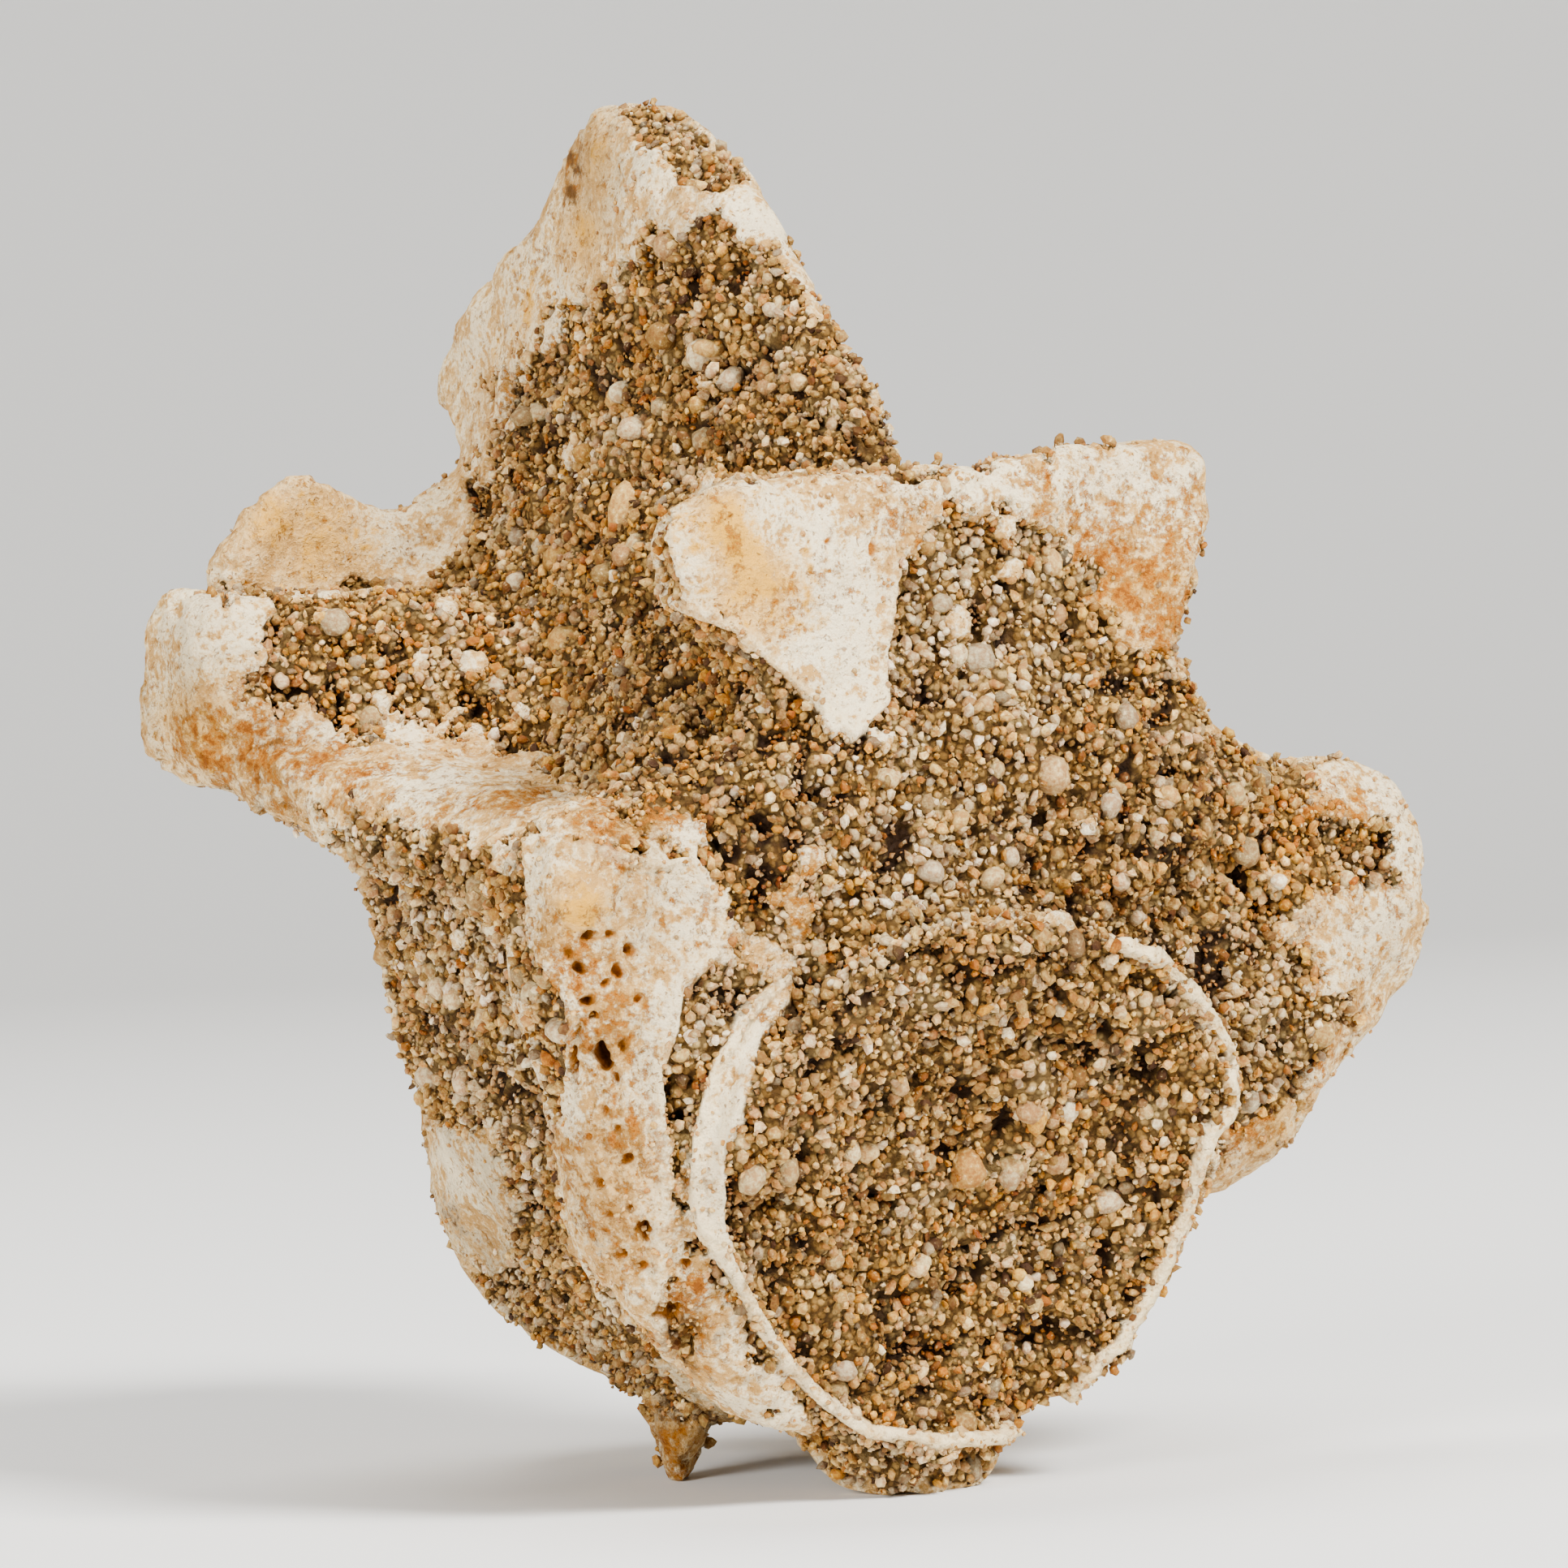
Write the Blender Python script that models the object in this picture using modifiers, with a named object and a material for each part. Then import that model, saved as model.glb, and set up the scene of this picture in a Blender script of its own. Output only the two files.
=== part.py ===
"""A fossil sea-snake vertebra with the sandstone that is cemented into its hollows, as one solid.

Metres, +Z up. It stands on three low points: the sandstone under the front cup, a swell of
sandstone at the back right and the keel's spine at the back left. The front, with the round cup,
faces -Y. Lengths below are in millimetres, as (x, y, z) in the animal's own frame, whose midline
is the plane X = 0 and whose cup is at Y = 0, and MM turns them into metres. Last, the whole is
leaned forward a little onto its low points, and moved so that the origin is at the foot of the
box that holds it.
"""

import math

import bmesh
import bpy
from mathutils import Matrix, Vector, noise

MM = 0.001

# Driving dimensions
CUP_CENTRE = (0.3, 0.0, 8.4)
CUP_RADIUS = 8.2
CUP_LEAN = math.radians(22)
BALL_CENTRE = (-0.1, 17.6, 8.5)
BALL_RADIUS = 6.6
WEDGE_HALF_WIDTH = 8.6
WEDGE_TOP = 27.2
SPINE_TOP = 38.3
FRONT_WING_REACH = (12.0, 16.5)
BACK_WING_REACH = (14.0, 13.4)
LEAN_FORWARD = math.radians(1.6)

# How finely the solid is made
RING_SIDES = 20
VOXEL = 0.42
BLEND_ROUNDS = 5
LUMP_SIZE = 4.5
LUMP_HEIGHT = 0.38
WEAR = 0.1
PIT_SIZE = 1.5
PIT_HEIGHT = 0.16
TRIANGLES = 7000
FOOT_SHAVE = 0.3

BONE_COLOUR = (0.62, 0.47, 0.30, 1.0)


def clear_scene():
    for old in list(bpy.data.objects):
        bpy.data.objects.remove(old)


def new_collection(name):
    made = bpy.data.collections.new(name)
    bpy.context.scene.collection.children.link(made)
    return made


def oval(centre, across, deep, squareness=2.0):
    """A ring of points round centre. across and deep are its two half-axes; squareness 2 is an ellipse."""
    points = []
    for step in range(RING_SIDES):
        turn = math.tau * step / RING_SIDES
        c, s = math.cos(turn), math.sin(turn)
        a = math.copysign(abs(c) ** (2 / squareness), c)
        d = math.copysign(abs(s) ** (2 / squareness), s)
        points.append(Vector(centre) + a * Vector(across) + d * Vector(deep))
    return points


def outline(corners, y):
    """A ring in the plane Y = y from its (x, z) corners, spread to RING_SIDES points along its edges."""
    closed = [Vector((x, y, z)) for x, z in corners]
    closed.append(closed[0])
    lengths = [(b - a).length for a, b in zip(closed, closed[1:])]
    whole = sum(lengths)
    points = []
    for step in range(RING_SIDES):
        left = whole * step / RING_SIDES
        edge = 0
        while left > lengths[edge]:
            left -= lengths[edge]
            edge += 1
        points.append(closed[edge].lerp(closed[edge + 1], left / lengths[edge]))
    return points


def loft(mesh, rings):
    """Adds to mesh a closed body that runs through rings of equal point counts."""
    loops = [[mesh.verts.new(point * MM) for point in ring] for ring in rings]
    faces = []
    for low, high in zip(loops, loops[1:]):
        for i in range(RING_SIDES):
            j = (i + 1) % RING_SIDES
            faces.append(mesh.faces.new((low[i], low[j], high[j], high[i])))
    for end in (loops[0], loops[-1]):
        faces.append(mesh.faces.new(end))
    bmesh.ops.recalc_face_normals(mesh, faces=faces)


def along_y(mesh, stations, squareness=2.0):
    """A body along Y. Each station is (y, x, z, half width, half height)."""
    loft(mesh, [oval((x, y, z), (w, 0, 0), (0, 0, h), squareness) for y, x, z, w, h in stations])


def along_x(mesh, side, stations, squareness=2.0):
    """A body that reaches out sideways. Each station is (x, y, z, half length, half height)."""
    loft(mesh, [oval((side * x, y, z), (0, ln, 0), (0, 0, h), squareness) for x, y, z, ln, h in stations])


def along_z(mesh, stations, squareness=2.0):
    """An upright body. Each station is (z, x, y, half width, half length)."""
    loft(mesh, [oval((x, y, z), (w, 0, 0), (0, ln, 0), squareness) for z, x, y, w, ln in stations])


def cup_ring(back, radius, lean):
    """A round ring parallel to a cup that leans forward by lean, set back along the body by back."""
    middle = Vector(CUP_CENTRE) + Vector((0, back, 0.05 * back))
    return oval(middle, (radius, 0, 0), (0, -radius * math.sin(lean), radius * math.cos(lean)))


def add_body(mesh):
    """The spool-shaped body of the vertebra: the leaning cup's rim in front, and a waist behind it."""
    r = CUP_RADIUS
    rings = [
        cup_ring(0.0, r - 0.1, CUP_LEAN),
        cup_ring(1.1, r, CUP_LEAN),
        cup_ring(2.6, r - 0.9, CUP_LEAN),
        cup_ring(5.0, r - 1.7, CUP_LEAN * 0.6),
        cup_ring(9.0, r - 2.2, 0),
        cup_ring(12.0, r - 2.3, 0),
        cup_ring(BALL_CENTRE[1], BALL_RADIUS - 0.2, 0),
    ]
    loft(mesh, rings)


def add_ball(mesh):
    """The ball at the back of the body, which sat in the next vertebra's cup."""
    bmesh.ops.create_uvsphere(
        mesh,
        u_segments=32,
        v_segments=18,
        radius=BALL_RADIUS * MM,
        matrix=Matrix.Translation(Vector(BALL_CENTRE) * MM),
    )


def add_flanks(mesh):
    """The sandstone that fills the body's sides between the ball and the side ridges."""
    along_z(
        mesh,
        [
            (1.6, 0, 12.0, 2.2, 5.0),
            (3.6, 0, 12.0, 4.6, 6.4),
            (7.0, 0, 12.0, 6.6, 7.2),
            (9.6, 0, 12.2, 7.6, 7.8),
            (12.2, 0, 12.4, 8.3, 8.0),
            (15.0, 0, 12.8, 8.9, 8.1),
            (17.8, 0, 13.2, 9.6, 7.8),
        ],
        squareness=4.6,
    )


def add_arch(mesh):
    """The arch over the nerve canal, filled with sandstone, from the cup's top to the back wings."""
    along_y(
        mesh,
        [
            (0.6, 0, 16.6, 6.2, 4.2),
            (2.5, 0, 17.4, 7.4, 5.6),
            (6.0, 0, 18.2, 7.2, 6.0),
            (11.0, 0, 18.6, 6.6, 5.8),
            (16.0, 0, 19.4, 7.6, 5.0),
            (21.0, 0, 21.0, 8.4, 4.2),
            (24.2, 0, 22.4, 7.4, 3.0),
        ],
        squareness=2.4,
    )


def cushion(mesh, face, middle, slices):
    """A body whose cross-section is the outline face, shrunk towards middle at each (y, size) slice."""
    rings = []
    for y, size in slices:
        lift = Vector((0, y * (1 - size), 0))
        rings.append([middle.lerp(point, size) + lift for point in outline(face, y)])
    loft(mesh, rings)


def add_brow(mesh):
    """The sandstone in front of the arch, between the cup's top, the front wings and the wedge."""
    face = [
        (-8.4, 15.0),
        (-8.9, 18.6),
        (-7.6, 21.4),
        (-4.4, 21.8),
        (-2.6, 23.4),
        (3.0, 23.6),
        (8.4, 22.8),
        (10.4, 20.2),
        (12.6, 18.7),
        (10.0, 15.0),
        (4.0, 13.5),
        (-4.0, 13.5),
    ]
    slices = ((-0.4, 0.6), (0.6, 0.85), (2.0, 0.97), (4.0, 1.0), (6.5, 0.85))
    cushion(mesh, face, Vector((0.8, 0, 18.0)), slices)


def add_wedge(mesh):
    """The wedge in front of the arch: a flat roof, upright cheeks, and two facets that slant in below."""
    w, top = WEDGE_HALF_WIDTH, WEDGE_TOP
    face = [
        (-w + 0.3, top - 1.0),
        (-w + 1.7, top + 0.1),
        (0, top + 0.6),
        (w - 1.6, top + 1.2),
        (w + 0.5, top + 0.8),
        (w + 0.4, top - 1.4),
        (w - 0.2, top - 4.8),
        (w - 3.6, top - 6.8),
        (0, top - 5.2),
        (-w + 5.4, top - 6.8),
        (-w + 0.6, top - 3.8),
    ]
    slices = ((0.4, 0.9), (0.9, 1.0), (2.6, 0.94), (5.0, 0.74), (8.0, 0.45))
    cushion(mesh, face, Vector((0, 0, top - 2.0)), slices)


def add_spine(mesh):
    """The blade on top, which leans back: its front edge climbs slowly and its back edge overhangs."""
    stations = []
    for z, front, back, half in (
        (23.0, 1.6, 24.8, 5.4),
        (25.2, 1.6, 25.4, 4.2),
        (27.8, 2.2, 25.6, 2.9),
        (30.0, 3.8, 25.4, 2.3),
        (32.8, 6.5, 23.4, 2.0),
        (35.5, 9.4, 20.4, 1.8),
        (SPINE_TOP - 1.0, 12.0, 18.9, 1.6),
        (SPINE_TOP, 14.2, 17.7, 0.9),
    ):
        stations.append((z, -0.4, (front + back) / 2, half, (back - front) / 2))
    along_z(mesh, stations, squareness=2.3)


def add_spine_flange(mesh):
    """The thin broken flange that overhangs at the blade's back edge."""
    stations = []
    for z, front, back in (
        (28.8, 21.0, 24.6),
        (29.8, 21.0, 27.4),
        (31.0, 20.4, 27.8),
        (32.4, 19.4, 25.8),
        (34.4, 17.0, 22.6),
    ):
        stations.append((z, -0.9, (front + back) / 2, 0.9, (back - front) / 2))
    along_z(mesh, stations, squareness=3.0)


def add_front_wing(mesh, side, reach):
    """A front wing with the rib knob's upper part under it, as one buttress beside the cup."""
    along_x(
        mesh,
        side,
        [
            (4.0, 4.6, 13.4, 4.0, 6.6),
            (8.0, 4.0, 13.4, 3.6, 6.1),
            (reach - 4.4, 3.4, 14.0, 3.0, 5.1),
            (reach - 1.6, 3.0, 15.3, 2.5, 3.9),
            (reach - 0.3, 2.8, 15.4, 1.7, 2.8),
            (reach, 2.8, 15.4, 0.8, 1.6),
        ],
        squareness=2.3,
    )


def add_left_knob(mesh):
    """The long upright knob for the rib's head, from the left front wing down beside the cup."""
    along_z(
        mesh,
        [
            (1.9, -3.7, 3.6, 0.9, 1.0),
            (3.0, -4.8, 3.5, 1.5, 1.6),
            (5.4, -6.8, 3.3, 2.0, 2.0),
            (8.5, -8.1, 3.2, 2.2, 2.3),
            (12.5, -8.6, 3.2, 2.3, 2.5),
            (16.0, -8.9, 3.2, 3.0, 2.4),
            (17.6, -8.9, 3.4, 2.5, 1.8),
        ],
        squareness=2.6,
    )


def add_right_knob(mesh):
    """The right rib knob, broken short beside the cup's middle."""
    along_z(
        mesh,
        [
            (7.0, 9.2, 4.2, 1.3, 1.6),
            (8.2, 9.5, 4.0, 2.2, 2.2),
            (11.0, 10.0, 3.6, 2.8, 2.6),
            (14.0, 11.0, 3.6, 3.2, 2.6),
            (17.0, 10.6, 3.8, 3.0, 2.2),
        ],
        squareness=2.6,
    )


def add_back_wing(mesh, side, reach):
    """A back wing: a thick tongue with a blunt end."""
    along_x(
        mesh,
        side,
        [
            (4.0, 18.0, 20.4, 4.6, 4.0),
            (8.0, 18.6, 21.2, 3.8, 3.5),
            (reach - 3.0, 19.4, 21.9, 3.0, 2.9),
            (reach - 0.8, 19.8, 22.1, 2.6, 2.8),
            (reach, 19.8, 22.1, 1.9, 2.1),
        ],
        squareness=2.8,
    )


def add_side_ridge(mesh, side):
    """The ridge along the arch's side that joins the front wing to the back wing."""
    along_y(
        mesh,
        [
            (3.0, side * 8.0, 16.4, 3.6, 1.8),
            (7.0, side * 7.8, 17.0, 3.4, 1.9),
            (11.0, side * 8.4, 17.9, 3.2, 1.9),
            (15.0, side * 9.6, 18.9, 3.1, 1.9),
            (18.5, side * 10.6, 20.2, 2.8, 1.9),
        ],
    )


def add_back_plate(mesh, side, height):
    """The upright plate over a back wing, broken to a blunt point."""
    corners = [
        (side * 1.0, 19.5),
        (side * 9.4, 20.5),
        (side * 10.8, 25.2),
        (side * 10.0, 26.8),
        (side * 8.0, height),
        (side * 6.6, height + 0.1),
        (side * 4.2, height - 1.4),
        (side * 1.0, height + 0.8),
    ]
    loft(mesh, [outline(corners, y) for y in (22.8, 24.6)])


def add_keel(mesh):
    """The keel under the body, with a foot of sandstone in front, under the cup."""
    along_y(
        mesh,
        [
            (1.6, -0.2, 1.7, 1.4, 1.3),
            (2.8, 0.1, 1.3, 2.6, 1.8),
            (4.6, 0.4, 1.5, 3.0, 2.0),
            (7.0, 0.4, 2.7, 2.4, 1.8),
            (12.0, 0.2, 2.8, 1.6, 1.9),
            (17.0, 0, 2.6, 1.4, 1.9),
            (20.0, 0, 4.4, 0.8, 1.2),
        ],
        squareness=2.4,
    )


def add_keel_spine(mesh):
    """The low blade under the ball, which stands on the ground."""
    front, back = Vector((-3.1, 10.9, 0)), Vector((-1.7, 13.4, 0))
    middle, along = (front + back) / 2, (back - front) / 2
    across = Vector((along.y, -along.x, 0)).normalized()
    rings = []
    for z, girth in ((-0.8, 0.55), (0.4, 0.7), (2.0, 1.1), (4.5, 1.9)):
        rings.append(oval(middle + Vector((0, 0, z)), across * girth, along * (1 + 0.15 * z)))
    loft(mesh, rings)


def add_right_swell(mesh):
    """A swell of sandstone low on the right, the third place that the whole stands on."""
    along_z(
        mesh,
        [
            (-0.85, 5.5, 14.4, 1.3, 1.7),
            (0.1, 5.2, 14.2, 1.9, 2.4),
            (2.0, 4.6, 13.6, 2.8, 3.6),
            (5.0, 3.2, 12.6, 3.8, 4.8),
        ],
        squareness=2.2,
    )


def build_form():
    """All the bodies in one mesh, still overlapping."""
    mesh = bmesh.new()
    add_body(mesh)
    add_ball(mesh)
    add_flanks(mesh)
    add_arch(mesh)
    add_brow(mesh)
    add_wedge(mesh)
    add_spine(mesh)
    add_spine_flange(mesh)
    for side, front_reach, back_reach, plate in (
        (-1, FRONT_WING_REACH[0], BACK_WING_REACH[0], 28.0),
        (1, FRONT_WING_REACH[1], BACK_WING_REACH[1], 27.0),
    ):
        add_front_wing(mesh, side, front_reach)
        add_back_wing(mesh, side, back_reach)
        add_side_ridge(mesh, side)
        add_back_plate(mesh, side, plate)
    add_left_knob(mesh)
    add_right_knob(mesh)
    add_keel(mesh)
    add_keel_spine(mesh)
    add_right_swell(mesh)
    data = bpy.data.meshes.new("vertebra")
    mesh.to_mesh(data)
    mesh.free()
    return data


def evaluated_mesh(thing):
    """The object's mesh with its modifiers applied, as a new mesh."""
    seen = thing.evaluated_get(bpy.context.evaluated_depsgraph_get())
    return bpy.data.meshes.new_from_object(seen)


def fuse(thing):
    """Melts the bodies into one skin, smooths the joins and thins the triangles."""
    melt = thing.modifiers.new("melt", "REMESH")
    melt.mode = "VOXEL"
    melt.voxel_size = VOXEL * MM
    blend = thing.modifiers.new("blend", "SMOOTH")
    blend.factor = 0.5
    blend.iterations = BLEND_ROUNDS
    thing.data = evaluated_mesh(thing)
    thing.modifiers.clear()


def keep_outer_skin(data):
    """Removes the closed pockets left between the melted bodies: the sandstone fills them."""
    mesh = bmesh.new()
    mesh.from_mesh(data)
    islands = []
    waiting = set(mesh.verts)
    while waiting:
        island, edge = set(), [waiting.pop()]
        while edge:
            vertex = edge.pop()
            island.add(vertex)
            for link in vertex.link_edges:
                other = link.other_vert(vertex)
                if other in waiting:
                    waiting.discard(other)
                    edge.append(other)
        islands.append(island)
    islands.sort(key=len)
    for island in islands[:-1]:
        bmesh.ops.delete(mesh, geom=list(island), context="VERTS")
    mesh.to_mesh(data)
    mesh.free()


def weather(data):
    """Pushes the skin in and out along its normals, in broad lumps and small pits."""
    moved = []
    for vertex in data.vertices:
        spot = vertex.co / MM
        lump = noise.noise(spot / LUMP_SIZE) * LUMP_HEIGHT
        pit = noise.noise(spot / PIT_SIZE + Vector((7.3, 1.9, 4.1))) * PIT_HEIGHT
        moved.append(vertex.co + vertex.normal * (lump + pit - WEAR) * MM)
    for vertex, place in zip(data.vertices, moved):
        vertex.co = place


def hollow_cup(thing, cutters):
    """Dishes the cup's front, leaving its thin rim proud of the sandstone that fills it."""
    mesh = bmesh.new()
    bmesh.ops.create_uvsphere(mesh, u_segments=40, v_segments=24, radius=1.0)
    size = Matrix.Diagonal((CUP_RADIUS - 0.75, 1.9, CUP_RADIUS - 0.75, 1.0))
    lean = Matrix.Rotation(CUP_LEAN, 4, "X")
    forward = Vector((0, -math.cos(CUP_LEAN), -math.sin(CUP_LEAN)))
    place = Matrix.Translation((Vector(CUP_CENTRE) + forward) * MM) @ lean @ Matrix.Scale(MM, 4) @ size
    mesh.transform(place)
    dish = bpy.data.objects.new("cup_dish", bpy.data.meshes.new("cup_dish"))
    mesh.to_mesh(dish.data)
    mesh.free()
    cutters.objects.link(dish)
    dish.hide_render = True
    dish.display_type = "WIRE"
    cut = thing.modifiers.new("cup", "BOOLEAN")
    cut.operation = "DIFFERENCE"
    cut.object = dish


def thin(thing):
    """Leaves about TRIANGLES triangles."""
    count = sum(len(face.vertices) - 2 for face in thing.data.polygons)
    fewer = thing.modifiers.new("fewer", "DECIMATE")
    fewer.ratio = min(1.0, TRIANGLES / count)
    fewer.use_collapse_triangulate = True


def stand_on_ground(data):
    """Leans the whole forward onto its three low points, shaves them flat, and puts them at Z = 0."""
    mesh = bmesh.new()
    mesh.from_mesh(data)
    mesh.transform(Matrix.Rotation(LEAN_FORWARD, 4, "X"))
    lowest = min(vertex.co.z for vertex in mesh.verts)
    level = lowest + FOOT_SHAVE * MM
    everything = mesh.verts[:] + mesh.edges[:] + mesh.faces[:]
    cut = bmesh.ops.bisect_plane(
        mesh, geom=everything, dist=1e-7, plane_co=(0, 0, level), plane_no=(0, 0, 1), clear_inner=True
    )
    rim = [part for part in cut["geom_cut"] if isinstance(part, bmesh.types.BMEdge)]
    bmesh.ops.contextual_create(mesh, geom=rim)
    bmesh.ops.triangulate(mesh, faces=mesh.faces[:])
    xs = [vertex.co.x for vertex in mesh.verts]
    ys = [vertex.co.y for vertex in mesh.verts]
    middle = Vector(((min(xs) + max(xs)) / 2, (min(ys) + max(ys)) / 2, level))
    bmesh.ops.translate(mesh, verts=mesh.verts[:], vec=-middle)
    mesh.to_mesh(data)
    mesh.free()


def bone_material():
    made = bpy.data.materials.new("fossil_bone")
    made.use_nodes = True
    shader = made.node_tree.nodes["Principled BSDF"]
    shader.inputs["Base Color"].default_value = BONE_COLOUR
    shader.inputs["Roughness"].default_value = 0.85
    shader.inputs["Metallic"].default_value = 0.0
    return made


def main():
    clear_scene()
    parts = new_collection("fossil vertebra")
    cutters = new_collection("cutters")
    vertebra = bpy.data.objects.new("vertebra", build_form())
    parts.objects.link(vertebra)
    fuse(vertebra)
    keep_outer_skin(vertebra.data)
    weather(vertebra.data)
    hollow_cup(vertebra, cutters)
    vertebra.data = evaluated_mesh(vertebra)
    vertebra.modifiers.clear()
    thin(vertebra)
    vertebra.data = evaluated_mesh(vertebra)
    vertebra.modifiers.clear()
    stand_on_ground(vertebra.data)
    vertebra.data.materials.append(bone_material())


main()
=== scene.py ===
import math

import bmesh
import bpy
import numpy as np
from mathutils import Matrix, Vector, kdtree, noise
from mathutils.bvhtree import BVHTree


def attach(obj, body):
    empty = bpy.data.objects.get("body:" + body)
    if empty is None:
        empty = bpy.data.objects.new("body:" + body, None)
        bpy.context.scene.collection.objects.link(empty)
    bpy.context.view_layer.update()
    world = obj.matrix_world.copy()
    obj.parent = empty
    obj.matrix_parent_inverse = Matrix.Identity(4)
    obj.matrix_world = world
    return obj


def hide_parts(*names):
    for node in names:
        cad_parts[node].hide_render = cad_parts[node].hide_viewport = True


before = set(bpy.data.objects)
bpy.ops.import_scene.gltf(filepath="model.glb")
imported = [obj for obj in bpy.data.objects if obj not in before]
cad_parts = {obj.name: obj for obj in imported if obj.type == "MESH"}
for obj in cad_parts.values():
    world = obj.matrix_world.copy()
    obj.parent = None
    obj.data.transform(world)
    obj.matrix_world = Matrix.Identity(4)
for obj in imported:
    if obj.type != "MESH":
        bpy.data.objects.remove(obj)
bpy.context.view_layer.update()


# The camera
# It stands where the photographer's did: level with the fossil, 30 degrees round to its left
# side, with a long lens and a small roll. The photograph's frame is 1932 by 1932 pixels.
PHOTO_SIZE = 1932
PIXEL_MM = 0.0225
CAMERA_PLACE = Vector((-100.997, -175.892, 21.423))
CAMERA_AIM = Vector((-1.058, -2.665, 19.279))
CAMERA_ROLL = 2.6
LENS = 165.63
SENSOR = 36.0
MM = 0.001



def placed(name, data):
    """A new object in the scene."""
    made = bpy.data.objects.new(name, data)
    bpy.context.scene.collection.objects.link(made)
    return made


camera_data = bpy.data.cameras.new("photo_camera")
camera_data.lens = LENS
camera_data.sensor_width = SENSOR
camera_data.clip_start = 0.01
camera_data.clip_end = 20.0
camera = placed("photo_camera", camera_data)
camera_turn = (CAMERA_AIM - CAMERA_PLACE).to_track_quat("-Z", "Y").to_matrix().to_4x4()
camera_turn = camera_turn @ Matrix.Rotation(math.radians(-CAMERA_ROLL), 4, "Z")
camera.matrix_world = Matrix.Translation(CAMERA_PLACE * MM) @ camera_turn
bpy.context.scene.camera = camera

PIXELS_PER_LENS = LENS / SENSOR * PHOTO_SIZE
photo_right = camera_turn.col[0].to_3d()
photo_up = camera_turn.col[1].to_3d()
photo_back = camera_turn.col[2].to_3d()


def pixels_of(places):
    """Where places on the fossil, in mm, are in the photograph."""
    reach = places - np.array(CAMERA_PLACE)
    depth = -(reach @ np.array(photo_back))
    across = reach @ np.array(photo_right) / depth * PIXELS_PER_LENS + PHOTO_SIZE / 2
    down = PHOTO_SIZE / 2 - reach @ np.array(photo_up) / depth * PIXELS_PER_LENS
    return across, down


def sight_line(across, down):
    """The direction in which the camera sees a pixel of the photograph."""
    side = (across - PHOTO_SIZE / 2) / PIXELS_PER_LENS
    height = (PHOTO_SIZE / 2 - down) / PIXELS_PER_LENS
    return (photo_right * side + photo_up * height - photo_back).normalized()


# The floor, the backdrop and the lights
# A pale sweep of paper runs along the table and up the wall behind it. Soft boxes light the
# fossil from the upper right, the left and above, and the room gives a weak pale fill.
SWEEP_HALF_WIDTH = 1.6
SWEEP_FRONT = -0.9
SWEEP_BACK = 0.75
SWEEP_BEND = 0.35
SWEEP_HEIGHT = 1.3
SWEEP_TURN = -30
BEND_STEPS = 12
PAPER = (0.86, 0.855, 0.84, 1.0)

sweep_shape = bmesh.new()
edge_line = [(SWEEP_FRONT, 0.0), (SWEEP_BACK - SWEEP_BEND, 0.0)]
for step in range(1, BEND_STEPS + 1):
    angle = math.radians(90 * step / BEND_STEPS)
    edge_line.append((
        SWEEP_BACK - SWEEP_BEND + SWEEP_BEND * math.sin(angle),
        SWEEP_BEND - SWEEP_BEND * math.cos(angle),
    ))
edge_line.append((SWEEP_BACK, SWEEP_HEIGHT))
line_verts = [sweep_shape.verts.new((-SWEEP_HALF_WIDTH, y, z)) for y, z in edge_line]
line_edges = [sweep_shape.edges.new(pair) for pair in zip(line_verts, line_verts[1:])]
pulled = bmesh.ops.extrude_edge_only(sweep_shape, edges=line_edges)
new_verts = [part for part in pulled["geom"] if isinstance(part, bmesh.types.BMVert)]
bmesh.ops.translate(sweep_shape, verts=new_verts, vec=(2 * SWEEP_HALF_WIDTH, 0, 0))
bmesh.ops.rotate(
    sweep_shape, verts=sweep_shape.verts, cent=(0, 0, 0),
    matrix=Matrix.Rotation(math.radians(SWEEP_TURN), 3, "Z"),
)
bmesh.ops.recalc_face_normals(sweep_shape, faces=sweep_shape.faces)
for face in sweep_shape.faces:
    face.smooth = True
sweep_mesh = bpy.data.meshes.new("paper_sweep")
sweep_shape.to_mesh(sweep_mesh)
sweep_shape.free()
sweep = placed("paper_sweep", sweep_mesh)
paper = bpy.data.materials.new("pale_paper")
paper.use_nodes = True
paper.node_tree.nodes["Principled BSDF"].inputs["Base Color"].default_value = PAPER
paper.node_tree.nodes["Principled BSDF"].inputs["Roughness"].default_value = 0.9
sweep_mesh.materials.append(paper)

FOSSIL_MIDDLE = Vector((0, 0, 0.018))
SOFT_BOXES = [
    ("key_box", (0.10, -0.40, 0.36), 0.14, 7.6, (1.0, 0.985, 0.95)),
    ("fill_box", (-0.46, -0.20, 0.16), 0.20, 3.4, (1.0, 0.985, 0.955)),
    ("top_box", (-0.05, 0.10, 0.50), 0.24, 2.0, (1.0, 0.99, 0.97)),
]
for box_name, box_place, box_width, box_power, box_tint in SOFT_BOXES:
    box_light = bpy.data.lights.new(box_name, "AREA")
    box_light.size = box_width
    box_light.energy = box_power
    box_light.color = box_tint
    soft_box = placed(box_name, box_light)
    box_turn = (FOSSIL_MIDDLE - Vector(box_place)).to_track_quat("-Z", "Y")
    soft_box.matrix_world = Matrix.Translation(box_place) @ box_turn.to_matrix().to_4x4()

room = bpy.data.worlds.new("pale_room")
bpy.context.scene.world = room
room.use_nodes = True
room.node_tree.nodes["Background"].inputs["Color"].default_value = (1.0, 0.985, 0.95, 1.0)
room.node_tree.nodes["Background"].inputs["Strength"].default_value = 0.24


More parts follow.
